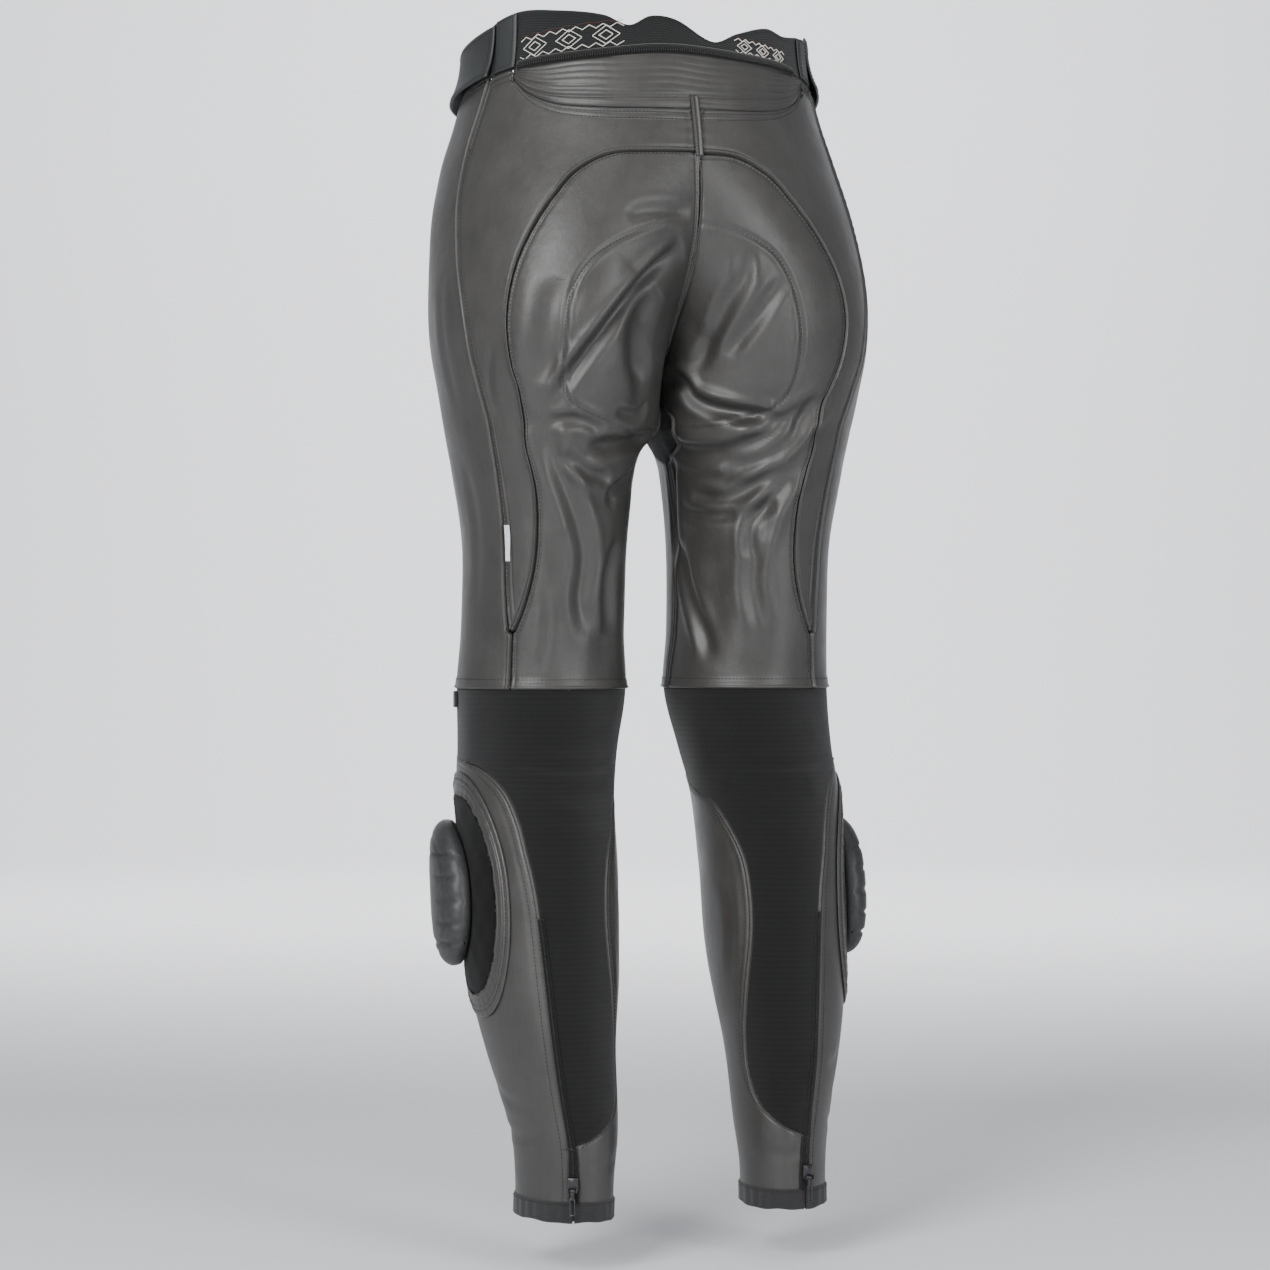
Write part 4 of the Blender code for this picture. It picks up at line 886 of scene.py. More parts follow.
def patch_grid(side, angle, height, radii, around, power=2.4, uneven=None):
    """Rings of a rounded patch as angle and height; radii are (half across, half up) pairs."""
    across = np.linalg.norm(base_points(side, angle + 1, height) - base_points(side, angle - 1, height)) / 2
    turn = np.linspace(0, 2 * math.pi, around + 1)
    c, s = np.cos(turn), np.sin(turn)
    u = np.sign(c) * np.abs(c) ** (2 / power)
    v = np.sign(s) * np.abs(s) ** (2 / power)
    radii = np.array(radii)
    grid_u, grid_v = radii[:, :1] * u, radii[:, 1:] * v
    if uneven is not None:
        more = uneven(turn, len(radii))
        grid_u, grid_v = grid_u + more * u, grid_v + more * v
    return angle + grid_u / across, height + grid_v, grid_u, grid_v


def ring_piece(name, node, finish, side, centre, radii, relief, lift, thick=None, uneven=None,
               around=120):
    """Patch or ring that lies on the cloth, with relief for each of its radii."""
    angle, height, u, v = patch_grid(side, *centre, radii, around, uneven=uneven)
    points, normals = cloth(side, angle, height, lift, fine=0.3)
    points = points + normals * relief(u, v)[..., None]
    mesh = grid_mesh(name, points, np.stack([u, v], axis=-1), cyclic=True)
    face_out(mesh, points, normals)
    piece = add_piece(name, mesh, finish)
    if thick:
        thicken(piece, thick)
    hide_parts(node)
    STITCHED[name] = (points, normals, None)
    return piece


def between(start, end, count):
    """Pairs of half sizes from one outline to another."""
    share = np.linspace(0, 1, count)[:, None]
    return np.array(start) * (1 - share) + np.array(end) * share


def make_knee(side):
    """Hook-and-loop patch, raw-edged leather band round it and the moulded slider."""
    name = side_name(side)
    turn = float(table_at(RIGHT_TURN, KNEE_Z)[0]) if side < 0 else 0.0
    centre = (KNEE_ANGLE + turn, KNEE_Z)
    random = np.random.default_rng(5 + side)

    radii = between((0.0, 0.0), PATCH_HALF, 22)
    ring_piece(f"knee_pile_{name}", f"knee_patch_{name}", "Pile", side, centre, radii,
               lambda u, v: 0.0003 * np.sin(u * 210 + 3) * np.sin(v * 160), LIFT + 0.0012, 0.0011)

    start = [half + 0.0003 for half in PATCH_HALF]
    rows = 26
    radii = between(start, BAND_HALF, rows)
    share = np.linspace(0, 1, rows)[:, None]
    wave = sum(random.uniform(0.3, 1) * np.sin(np.linspace(0, 2 * math.pi, 241) * k + random.uniform(0, 6))
               for k in (5, 9, 14, 23, 31, 47))

    def raw_edge(turns, count):
        return 0.00038 * (np.interp(turns, np.linspace(0, 2 * math.pi, 241), wave) + 1.2) * (1 - share) ** 6

    def band_relief(u, v):
        d = share * 0.0195
        shape = -0.0011 * np.exp(-((d - 0.0098) / 0.0007) ** 2)
        shape = shape + 0.0009 * np.exp(-((d - 0.0118) / 0.0013) ** 2)
        shape = shape + 0.0006 * np.exp(-((d - 0.0012) / 0.0012) ** 2)
        shape = shape - 0.0010 * np.exp(-((0.0195 - d) / 0.0010) ** 2)
        return shape + 0.00012 * np.sin(np.hypot(u, v) * 0 + 9 * np.arctan2(v, u) * 6)

    ring_piece(f"knee_band_cloth_{name}", f"knee_band_{name}", "Leather", side, centre, radii,
               band_relief, LIFT + 0.0016, 0.0013, uneven=raw_edge, around=240)
    points, normals, _ = STITCHED[f"knee_band_cloth_{name}"]
    sew(points[18], normals[18])

    edge, out = points[0], normals[0]
    count = 260
    at = random.uniform(0, len(edge) - 1.001, count)
    k = at.astype(int)
    place = edge[k] + (edge[k + 1] - edge[k]) * (at - k)[:, None]
    inward = unit(points[0] - points[4])[k]
    run = unit(inward + 0.7 * random.normal(size=(count, 3)))
    side_way = unit(np.cross(run, out[k]))
    up = np.cross(side_way, run)
    size = random.uniform(0.0006, 0.0015, count)[:, None]
    axes = np.stack([run * size, side_way * 0.00013, up * 0.00013], axis=1)
    mesh = repeated_mesh(f"knee_fray_{name}", unit_shape("bead", 4), place + inward * 0.0003, axes)
    add_piece(f"knee_fray_{name}", mesh, "Raw edge")

    profile = PUCK_PROFILE
    shares = np.array([p[0] for p in profile])
    levels = np.array([p[1] for p in profile])
    at = np.linspace(0, 1, 64)
    steps = np.concatenate([[0], np.cumsum(np.hypot(np.diff(shares) * 0.05, np.diff(levels) * 0.024))])
    shares, levels = np.interp(at * steps[-1], steps, shares), np.interp(at * steps[-1], steps, levels)
    radii = np.stack([PUCK_HALF[0] * shares, PUCK_HALF[1] * shares], axis=1)
    puck_centre = (centre[0] - PUCK_FORWARD, centre[1])
    angle, height, u, v = patch_grid(side, *puck_centre, radii, 128, power=2.5)
    base, normals = cloth(side, angle, height, 0.0, fine=0.0)
    rise = np.repeat((levels * PUCK_THICK)[:, None], base.shape[1], axis=1)
    near_rim = np.clip((shares[:, None] - 0.45) / 0.4, 0, 1) * (levels[:, None] > 0.3)
    for level in (-0.041, -0.024, -0.005, 0.015, 0.034):
        rise = rise - 0.0030 * near_rim * np.exp(-((v - level) / 0.0016) ** 2)
    rise = rise - 0.0009 * np.exp(-((np.maximum(shares[:, None], 0) - 0.80) / 0.018) ** 2) * (levels[:, None] > 0.4)
    points = base + normals * (rise + LIFT + 0.0026)[..., None]
    mesh = grid_mesh(f"knee_puck_{name}", points, np.stack([u, v], axis=-1), cyclic=True)
    face_out_top(mesh, normals[0, 0])
    piece = add_piece(f"knee_puck_{name}", mesh, "Slider")
    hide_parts(f"knee_slider_{name}")


PUCK_FORWARD = 20
PUCK_PROFILE = [
    (0.0, 1.0), (0.30, 0.995), (0.55, 0.96), (0.72, 0.90), (0.84, 0.80), (0.92, 0.68), (0.97, 0.55),
    (1.0, 0.40), (1.0, 0.20), (0.985, 0.06), (0.95, 0.0), (0.6, 0.0), (0.0, 0.0),
]


def face_out_top(mesh, way):
    """Turn a closed mesh's faces outwards, judged at its face furthest along a way."""
    way = np.array(way)
    count = len(mesh.polygons)
    centres = np.empty(count * 3)
    mesh.polygons.foreach_get("center", centres)
    top = int(np.argmax(centres.reshape(-1, 3) @ way))
    if np.dot(np.array(mesh.polygons[top].normal), way) < 0:
        mesh.flip_normals()


# Waist


def around_waist(turn):
    """Side and angle for degrees from the centre back towards the wearer's left."""
    return (1, 90.0 - turn) if turn >= 0 else (-1, 90.0 + turn)


def waist_points(turn, height, lift, fine=0.0):
    """Points and ways out of grids given by turn from the centre back and by height."""
    turn, height, lift = np.broadcast_arrays(np.asarray(turn, float), height, lift)
    points, normals = np.empty(turn.shape + (3,)), np.empty(turn.shape + (3,))
    for side, chosen in ((1, turn >= 0), (-1, turn < 0)):
        if chosen.any():
            angle = 90.0 - np.abs(turn[chosen])
            made, ways = cloth(side, angle, height[chosen], 0.0, fine)
            points[chosen] = made + ways * lift[chosen][:, None]
            normals[chosen] = ways
    return points, normals


def band_top(turn):
    """Height of the waistband's wavy top edge."""
    table = [(-a, z) for a, z in BAND_TOP]
    return table_at(table, -np.asarray(turn, float))[0]


def flat_uv(points):
    """Distances across and along a grid, in metres."""
    across = np.linalg.norm(np.diff(points, axis=1), axis=2)
    along = np.linalg.norm(np.diff(points, axis=0), axis=2)
    u = np.concatenate([np.zeros((len(points), 1)), np.cumsum(across, axis=1)], axis=1)
    v = np.concatenate([np.zeros((1, points.shape[1])), np.cumsum(along, axis=0)], axis=0)
    return np.stack([u, v], axis=-1)


def sheet_piece(name, node, finish, points, normals, thick, replaced=True):
    """Thin shell from a grid of points."""
    mesh = grid_mesh(name, points, flat_uv(points))
    face_out(mesh, points, normals)
    piece = add_piece(name, mesh, finish)
    thicken(piece, thick)
    if replaced:
        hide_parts(node)
    declare(points)
    STITCHED[name] = (points, normals, None)
    return piece


def make_waistband():
    """Elastic back with its motif, leather fronts and the jacket's zip."""
    turns = np.linspace(BAND_END, -BAND_END, 200)
    share = np.concatenate([[0, 0.012, 0.03, 0.06, 0.10], np.linspace(0.15, 1, 18)])[:, None]
    top = band_top(turns)[None]
    height = top + (WAIST_Z + SEAM_HALF - top) * share
    roll = 0.0007 * np.exp(-((share - 0.05) / 0.035) ** 2) - 0.0009 * np.exp(-(share / 0.012) ** 2)
    billow = 0.0007 * np.sin(np.radians(turns) * 9 + 1)[None] * (1 - share)
    points, normals = waist_points(np.repeat(turns[None], len(share), 0), height, roll + billow)
    sheet_piece("waistband_elastic", "waistband_back", "Elastic", points, normals, ELASTIC)

    motif, rust = [], []
    for start, end, level_z, size in MOTIFS:
        middle, half = (start + end) / 2, (start - end) / 2
        for line in motif_lines():
            turn = middle + half * line[:, 0]
            sew(*waist_points(turn, level_z + line[:, 1] * size, 0.0004), pitch=0.0017, into=motif)
        turn = np.linspace(start - 1, end + 1, 60)
        level = level_z + 0.0112 * size + 0.0004 * np.sin(turn)
        sew(*waist_points(turn, level, 0.0003), pitch=0.0016, into=rust)
    make_thread("waistband_motif", "Pale thread", (0.00105, 0.00052), motif, sunk=0.1)
    make_thread("waistband_rust", "Rust thread", (0.0009, 0.00028), rust, sunk=0.1)

    for side in (1, -1):
        name = side_name(side)
        angles = np.linspace(90 - BAND_END, -90, 90)[None]
        share = np.concatenate([[0, 0.02, 0.05], np.linspace(0.1, 0.9, 12), [0.95, 0.98, 1]])[:, None]
        height = FRONT_BAND_TOP + (WAIST_Z - FRONT_BAND_TOP) * share
        height = np.repeat(height, angles.shape[1], 1)
        angle = np.repeat(angles, len(share), 0)
        edge = np.minimum(share, 1 - share) * (FRONT_BAND_TOP - WAIST_Z)
        points, normals = cloth(side, angle, height, 0.0, fine=0.4)
        points = points + normals * edge_relief(edge, angle * METRE_PER_DEGREE, "double")[..., None]
        points = pull_edges(points, normals, side)
        sheet_piece(f"waistband_leather_{name}", f"waistband_front_{name}", "Leather", points,
                    normals, LEATHER)
        for row in (4, -5):
            sew(points[row], normals[row])

    turns = np.linspace(57, -43, 150)
    share = np.linspace(0, 1, 7)[:, None]
    sway = ZIP_SWAY * np.sin(np.radians(turns) * 7.5 + 0.6)[None]
    height = WAIST_Z - 0.0035 + sway + 0.0080 * (1 - share)
    lift = 0.0011 + 0.0011 * np.sin(share * math.pi) + 0.4 * np.abs(sway)
    points, normals = waist_points(np.repeat(turns[None], len(share), 0), height, lift)
    sheet_piece("jacket_zip_cloth", "jacket_zip_tape", "Tape", points, normals, 0.0009)
    line, ways = points[4], normals[4]
    zip_teeth("jacket_zip_teeth", line, ways, "Coil", 0.0021, (0.00062, 0.0019, 0.0009))


# Plain motif: turn from and to, height of its middle, share of its full height
MOTIFS = ((57.0, 20.0, -0.0035, 1.0), (-16.0, -40.0, -0.0085, 0.66))
ZIP_SWAY = 0.0009


def motif_lines():
    """Lines of a plain pattern of lozenges and zigzags, as share across and height."""
    lines = []
    for k in range(3):
        middle = -0.66 + 0.66 * k
        for size in (1.0, 0.5):
            wide, tall = 0.24 * size, 0.0078 * size
            corners = [(middle - wide, 0), (middle, tall), (middle + wide, 0), (middle, -tall), (middle - wide, 0)]
            lines.append(dense(corners))
    zigzag = [(-0.97 + 0.97 * k / 8, 0.0095 if k % 2 else 0.0062) for k in range(17)]
    lines.append(dense(zigzag))
    lines.append(dense([(x, -z) for x, z in zigzag]))
    return lines


def dense(corners, count=12):
    """Corners joined by evenly spaced points."""
    corners = np.array(corners, float)
    at = np.linspace(0, len(corners) - 1, count * (len(corners) - 1) + 1)
    return np.stack([np.interp(at, np.arange(len(corners)), corners[:, k]) for k in range(2)], axis=1)


def zip_teeth(name, line, ways, finish, pitch, sizes):
    """Row of teeth across a line."""
    steps = np.linalg.norm(np.diff(line, axis=0), axis=1)
    length = np.concatenate([[0], np.cumsum(steps)])
    at = np.arange(pitch / 2, length[-1], pitch)
    place = np.stack([np.interp(at, length, line[:, k]) for k in range(3)], axis=1)
    ahead = np.stack([np.interp(at + 0.001, length, line[:, k]) for k in range(3)], axis=1)
    out = unit(np.stack([np.interp(at, length, ways[:, k]) for k in range(3)], axis=1))
    run = unit(ahead - place + 1e-9)
    run[-1] = run[-2]
    across = unit(np.cross(out, run))
    axes = np.stack([run * sizes[0], across * sizes[1], out * sizes[2]], axis=1)
    mesh = repeated_mesh(name, unit_shape("bead", 6, 4), place + out * sizes[2] * 0.3, axes)
    return add_piece(name, mesh, finish)


def make_lumbar():
    """Gathered stretch panel under the waistband."""
    left, right = (curve_through(lumbar_edge(side), np.linspace(0, TOP_ROWS - 2, 200)) for side in (1, -1))
    turns = np.concatenate([90 - left[::-1, 0], right[1:, 0] - 90])
    lows = np.concatenate([left[::-1, 1], right[1:, 1]])
    t = np.linspace(turns[0], turns[-1], 230)
    low = np.interp(-t, -turns, lows)
    share = np.linspace(0, 1, 64)[:, None]
    height = WAIST_Z - SEAM_HALF + (low[None] - WAIST_Z) * share
    across = (t / 59)[None]
    ends = np.clip(np.abs(across) - 0.15, 0, 1)
    fan = share + 0.10 * np.abs(across) ** 2
    tuck = np.abs(np.sin(fan * math.pi * 8 + 0.7 * np.sin(across * 5) + 0.5 * np.sin(across * 13)))
    relief = 0.0012 * (tuck ** 0.6 - 0.6) * (0.35 + 0.75 * ends)
    deep = np.exp(-((share - 0.80 - 0.05 * across) / 0.035) ** 2) * (0.5 + 0.5 * np.cos(across * 2))
    relief = relief - 0.0020 * deep - 0.0012 * np.exp(-((share - 0.62) / 0.03) ** 2) * np.abs(across)
    border = np.minimum(np.minimum(share, 1 - share) * 0.045, (1 - np.abs(across)) * 0.1)
    relief = relief * np.clip(border / 0.004, 0, 1) - 0.0012 * np.exp(-(border / 0.0012) ** 2)
    relief = relief + 0.0012 * np.clip(border / 0.010, 0, 1)
    points, normals = waist_points(np.repeat(t[None], len(share), 0), height, relief)
    sheet_piece("lumbar_cloth", "lumbar_panel", "Leather", points, normals, 0.0015)


def make_straps():
    """Anchor patch and folded strap at each side of the waist."""
    for side in (1, -1):
        name = side_name(side)
        turn = float(table_at(RIGHT_TURN, 0.0)[0]) if side < 0 else 0.0
        start, end = 22.5 + turn, 32.0 + turn
        angles = np.linspace(start, end, 24)[None]
        share = np.concatenate([[0, 0.02, 0.05], np.linspace(0.1, 0.9, 14), [0.95, 0.98, 1]])[:, None]
        high = band_top((90 - angles) * side) - 0.0015
        height = high + (WAIST_Z + 0.0006 - high) * share
        angle = np.repeat(angles, len(share), 0)
        points, normals = cloth(side, angle, height, 0.0030, fine=0.0)
        edge = np.minimum(np.minimum(share, 1 - share) * 0.045,
                          np.minimum(angle - start, end - angle) * METRE_PER_DEGREE)
        points = points - normals * (0.0007 * np.exp(-(edge / 0.0009) ** 2))[..., None]
        sheet_piece(f"tab_cloth_{name}", f"tab_patch_{name}", "Strap", points, normals, 0.0011)
        inset = [(start + 1.6, 0.06), (end - 1.6, 0.06), (end - 1.6, 0.94), (start + 1.6, 0.94), (start + 1.6, 0.06)]
        path = dense(inset)
        level = band_top((90 - path[:, 0]) * side) - 0.0015
        level = level + (WAIST_Z + 0.0006 - level) * path[:, 1]
        sew(*cloth(side, path[:, 0], level, 0.0030, fine=0.0))

        start, end = -26.0 + turn, 21.5 + turn
        angles = np.linspace(start, end, 60)
        down = np.linspace(0, 1, 24)
        height = 0.026 + (-0.020 - 0.026) * down
        angle, height = np.meshgrid(angles, height)
        free = down[:, None]
        lift = LIFT + 0.0022 + 0.006 * free ** 2 + 0.0008 * np.sin((angle - start) * 0.13)
        points, normals = cloth(side, angle, height, 0.0, fine=0.0)
        points = points + normals * lift[..., None]
        edge = np.minimum(np.minimum(free, 1 - free) * 0.046,
                          np.minimum(angle - start, end - angle) * METRE_PER_DEGREE)
        points = points - normals * (0.0006 * np.exp(-(edge / 0.0010) ** 2))[..., None]
        sheet_piece(f"strap_cloth_{name}", f"tab_strap_{name}", "Strap", points, normals,
                    ELASTIC)
        sew(points[2], normals[2])
        sew(points[-3], normals[-3])
        sew(points[:, 3], normals[:, 3])
        sew(points[:, -4], normals[:, -4])


def make_small_cloth():
    """Back strip, fly flap, label and hem tab."""
    heights = np.linspace(-0.055, -0.101, 40)
    degree = np.linalg.norm(base_points(1, 90, -0.055) - base_points(1, 89, -0.055))
    half = 0.0040 / degree
    share = np.linspace(-1, 1, 17)
    turn = -share[None] * half
    side_of = np.where(turn >= 0, 1, -1)
    edge = middle_edge(heights, False)[:, None]
    angle = edge - np.abs(turn)
    points, normals = np.empty(angle.shape + (3,)), np.empty(angle.shape + (3,))
    height = np.repeat(heights[:, None], len(share), 1)
    for side in (1, -1):
        chosen = np.broadcast_to(side_of == side, angle.shape)
        made, ways = cloth(side, angle[chosen], height[chosen], 0.0, fine=0.0)
        points[chosen], normals[chosen] = made, ways
    ridge = 0.0012 * np.exp(-((np.abs(share) - 0.55) / 0.28) ** 2) - 0.0007 * np.exp(-((1 - np.abs(share)) / 0.10) ** 2)
    points = points + normals * (LIFT + 0.0014 + ridge)[None, :, None]
    sheet_piece("back_strip_cloth", "back_strip", "Leather", points, normals, 0.0012)
    for column in (2, -3):
        sew(points[:, column], normals[:, column], pitch=0.0028)

    shares = (1, 1, 1, 1, 1, 1, 0.92, 0.74, 0.42)
    heights = np.linspace(WAIST_Z - 0.001, -0.172, 70)
    share = np.interp(np.linspace(0, 8, 70), range(9), shares)
    inner = -middle_edge(heights, True)
    degree = np.linalg.norm(base_points(1, -80, heights) - base_points(1, -81, heights), axis=-1)
    width = 0.038 / degree * share
    across = np.concatenate([[0, 0.012, 0.03, 0.06], np.linspace(0.1, 0.9, 12), [0.94, 0.97, 0.988, 1]])[None]
    angle = (inner + 0.8)[:, None] + (width - 0.8)[:, None] * across
    height = np.repeat(heights[:, None], across.shape[1], 1)
    points, normals = cloth(1, angle, height, 0.0, fine=0.3)
    roll = -0.0008 * np.exp(-(np.minimum(across, 1 - across) * 0.038 / 0.0009) ** 2)
    points = points + normals * (LIFT + 0.0014 + roll)[..., None]
    sheet_piece("fly_cloth", "fly_flap", "Leather", points, normals, 0.0014)
    sew(points[:, -7], normals[:, -7])
    sew(points[:, -9], normals[:, -9])

    degree = float(np.linalg.norm(base_points(1, 41, -0.396) - base_points(1, 40, -0.396)))
    for name, node, finish, slot, corner, size, lift, thick in (
        ("label_cloth", "side_label", "Label", "label", (39.6, -0.396), (0.0052 / degree, 0.031), 0.0014, 0.0005),
        ("hem_tab_cloth", "hem_tab", "Binding", "binding", (-20.0, -0.539), (7.0, 0.014), 0.0030, 0.0022),
    ):
        angle = corner[0] + np.linspace(0, 1, 9)[None] * size[0]
        height = corner[1] - np.linspace(0, 1, 17)[:, None] * size[1]
        angle, height = np.broadcast_arrays(angle, height)
        curl = 0.0006 * np.sin((height - corner[1]) * 190) * np.linspace(0, 1, 9)[None]
        points, normals = cloth(1, angle, height, lift, fine=0.0)
        points = points + normals * curl[..., None]
        sheet_piece(name, node, finish, points, normals, thick)
        if name == "label_cloth":
            print_lines = []
            for row in (3, 5, 8, 11, 13):
                sew(points[row, 2:-2], normals[row, 2:-2], pitch=0.0012, into=print_lines)
            make_thread("label_print", "Grey print", (0.0005, 0.00018), print_lines)


def make_cuffs():
    """Bound cuffs with a slit at the zip."""
    for side in (1, -1):
        name = side_name(side)
        slit = seam(side, ZIP_LOW, 2)[-1][0]
        angles = np.linspace(slit + 1.2, slit + 358.8, 170)[None]
        share = np.concatenate([[0, 0.03, 0.07, 0.13], np.linspace(0.2, 0.8, 9), [0.87, 0.93, 0.97, 1]])[:, None]
        tall = CUFF_TOP_Z - CUFF_END_Z
        wave = 0.0006 * np.sin(np.radians(angles) * 5 + side) + 0.0004 * np.sin(np.radians(angles) * 11)
        height = CUFF_TOP_Z + 0.0016 - (tall + 0.0016) * share + wave * share * 0.8
        angle, height = np.broadcast_arrays(angles, height)
        edge = np.minimum(share, 1 - share) * tall
        relief = 0.0012 - 0.0008 * np.exp(-(edge / 0.0010) ** 2) + 0.0005 * np.exp(-((share - 0.93) / 0.05) ** 2)
        relief = relief + 0.00035 * np.sin(np.radians(angle) * 23 + 2 * np.sin(np.radians(angle) * 3)) * (edge > 0.002)
        points, normals = cloth(side, angle, height, 0.0, fine=0.6)
        points = points + normals * relief[..., None]
        sheet_piece(f"cuff_cloth_{name}", f"cuff_{name}", "Binding", points, normals, 0.0025)
        sew(points[3], normals[3])


# Calf zips


def box_at(maker, centre, axes, sizes, bevel, segments=2):
    """Rounded box in a bmesh, given its middle, its directions and lengths."""
    made = bmesh.ops.create_cube(maker, size=1.0)["verts"]
    edges = list({edge for vert in made for edge in vert.link_edges})
    turn = Matrix([[float(axes[k][row]) * sizes[k] for k in range(3)] for row in range(3)]).to_4x4()
    bmesh.ops.transform(maker, verts=made, matrix=Matrix.Translation(Vector(centre)) @ turn)
    if bevel:
        bmesh.ops.bevel(maker, geom=edges, offset=bevel, segments=segments, affect="EDGES", profile=0.5,
                        material=-1)


def rod_at(maker, centre, axes, radius, length, sides=16):
    """Round rod along the first of three directions."""
    made = bmesh.ops.create_cone(maker, cap_ends=True, segments=sides, radius1=radius, radius2=radius,
                                 depth=length)["verts"]
    turn = Matrix([[float(axes[k][row]) for k in (1, 2, 0)] for row in range(3)]).to_4x4()
    bmesh.ops.transform(maker, verts=made, matrix=Matrix.Translation(Vector(centre)) @ turn)


def finish_solid(name, maker, finish, body="root"):
    bmesh.ops.recalc_face_normals(maker, faces=maker.faces)
    mesh = bpy.data.meshes.new(name)
    maker.to_mesh(mesh)
    maker.free()
    piece = add_piece(name, mesh, finish, body)
    return piece


def make_zip(side):
    """Tape and coil of a calf zip, its slider and the pull that swings on it."""
    name = side_name(side)
    outer_rear = lower_lines(side)[4]
    chain = np.array([(a, z) for a, z in outer_rear if z < ZIP_TOP_Z])
    chain[-1, 1] = CUFF_TOP_Z
    chain = np.vstack([chain, [chain[-1, 0], CUFF_END_Z + 0.0015]])
    at = np.linspace(0, len(chain) - 1, 120)
    path = curve_through(chain, at)
    across = np.linalg.norm(base_points(side, path[:, 0] + 1, path[:, 1])
                            - base_points(side, path[:, 0] - 1, path[:, 1]), axis=1) / 2
    share = np.linspace(-1, 1, 9)[None]
    low = np.clip((-0.905 - path[:, 1]) / 0.03, 0, 1)[:, None]
    half = (0.0030 + 0.0013 * low) / across[:, None]
    angle = path[:, :1] + half * share
    height = np.repeat(path[:, 1:], share.shape[1], 1)
    points, normals = cloth(side, angle, height, 0.0, fine=1.0)
    cuff = np.clip((CUFF_TOP_Z + 0.002 - path[:, 1]) / 0.004, 0, 1)[:, None]
    lift = 0.0007 + 0.0004 * (1 - share ** 2) + 0.0004 * low - 0.0010 * cuff
    points = points + normals * lift[..., None]
    sheet_piece(f"zip_cloth_{name}", f"zip_chain_{name}", "Tape", points, normals, 0.0007)
    zip_teeth(f"zip_coil_{name}", points[:, 4], normals[:, 4], "Coil", 0.0014, (0.00058, 0.0015, 0.0008))

    angle = (outer_rear[-1][0] + outer_rear[-3][0]) / 2
    base = LIFT + ZIP_THICK + 2 * 0.0003
    foot, normal = cloth(side, np.array([angle]), np.array([SLIDER_Z]), base, fine=0.0)
    foot, normal = foot[0], normal[0]
    out = unit(np.array([normal[0], normal[1], 0.0]))
    down = np.array([0.0, 0.0, -1.0])
    way = np.cross(down, out)
    axes = (way, down, out)
    width, tall, thick = SLIDER_SIZE
    maker = bmesh.new()
    box_at(maker, foot + out * (thick / 2 - 0.0006), axes, (width, tall, thick + 0.0012), 0.0011, 3)
    box_at(maker, foot + out * thick * 0.9 - down * 0.0012, axes, (width * 0.55, tall * 0.62, 0.0014), 0.0006, 2)
    pin = foot + out * (thick + 0.0003 + 0.0014) + down * (tall / 2 - 0.0014)
    ear_out = (0.0054 + 0.0012) / 2 + 0.0003
    for way_sign in (-1, 1):
        centre = pin + way * (way_sign * ear_out) - out * 0.0004
        box_at(maker, centre, axes, (0.0012, 0.0038, 0.0038), 0.0004, 2)
    rod_at(maker, pin, axes, 0.0006, 2 * ear_out + 0.0004)
    piece = finish_solid(f"zip_body_{name}", maker, "Gunmetal")
    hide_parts(f"zip_slider_{name}")

    maker = bmesh.new()
    rod_at(maker, pin, axes, 0.0014, 0.0052, 20)
    box_at(maker, pin + down * 0.0043, axes, (0.0034, 0.0074, 0.0012), 0.0004)
    plate_top, plate_end = 0.0074, 0.0208
    for sign in (-1, 1):
        centre = pin + down * ((plate_top + plate_end) / 2) + way * sign * 0.0019
        box_at(maker, centre, axes, (0.0013, plate_end - plate_top, 0.0013), 0.0005)
    for end in (plate_top, plate_end):
        box_at(maker, pin + down * (end - 0.0004), axes, (0.0050, 0.0016, 0.0013), 0.0005)
    piece = finish_solid(f"zip_tab_{name}", maker, "Gunmetal", f"pull_{name}")
    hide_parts(f"zip_pull_{name}")


ZIP_TOP_Z, ZIP_THICK = -0.727, 0.0016
SLIDER_Z, SLIDER_SIZE = -0.952, (0.0095, 0.0120, 0.0026)


def make_button():
    """Snap button of the waistband."""
    angles = np.linspace(90 - BAND_END, -90, 10)[-2:]
    corners = [base_points(1, a, z) for a in angles for z in (WAIST_Z, (WAIST_Z + FRONT_BAND_TOP) / 2)]
    centre = sum(corners) / 4
    out = unit(np.cross(corners[1] - corners[0], corners[2] - corners[0]))
    if out[1] > 0:
        out = -out
    across = unit(np.cross(np.array([0.0, 0.0, 1.0]), out))
    axes = (out, across, np.cross(out, across))
    maker = bmesh.new()
    rod_at(maker, centre + out * 0.0026, axes, 0.0085, 0.0020, 48)
    bevelled = [e for e in maker.edges if abs(e.calc_face_angle(0)) > 1.0]
    bmesh.ops.bevel(maker, geom=bevelled, offset=0.0008, segments=3, affect="EDGES", profile=0.5, material=-1)
    rod_at(maker, centre + out * 0.0038, axes, 0.0052, 0.0008, 40)
    piece = finish_solid("fly_snap", maker, "Gunmetal")
    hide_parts("fly_button")


# Finishes


def new_material(name):
    made = bpy.data.materials.new(name)
    made.use_nodes = True
    return made, made.node_tree.nodes, made.node_tree.links, made.node_tree.nodes["Principled BSDF"]


def node(nodes, kind, **settings):
    """Shader node with its settings and input values; inputs are named in capitals by the socket."""
    made = nodes.new(kind)
    for key, value in settings.items():
        if key.startswith("in_"):
            made.inputs[key[3:].replace("_", " ")].default_value = value
        else:
            setattr(made, key, value)
    return made


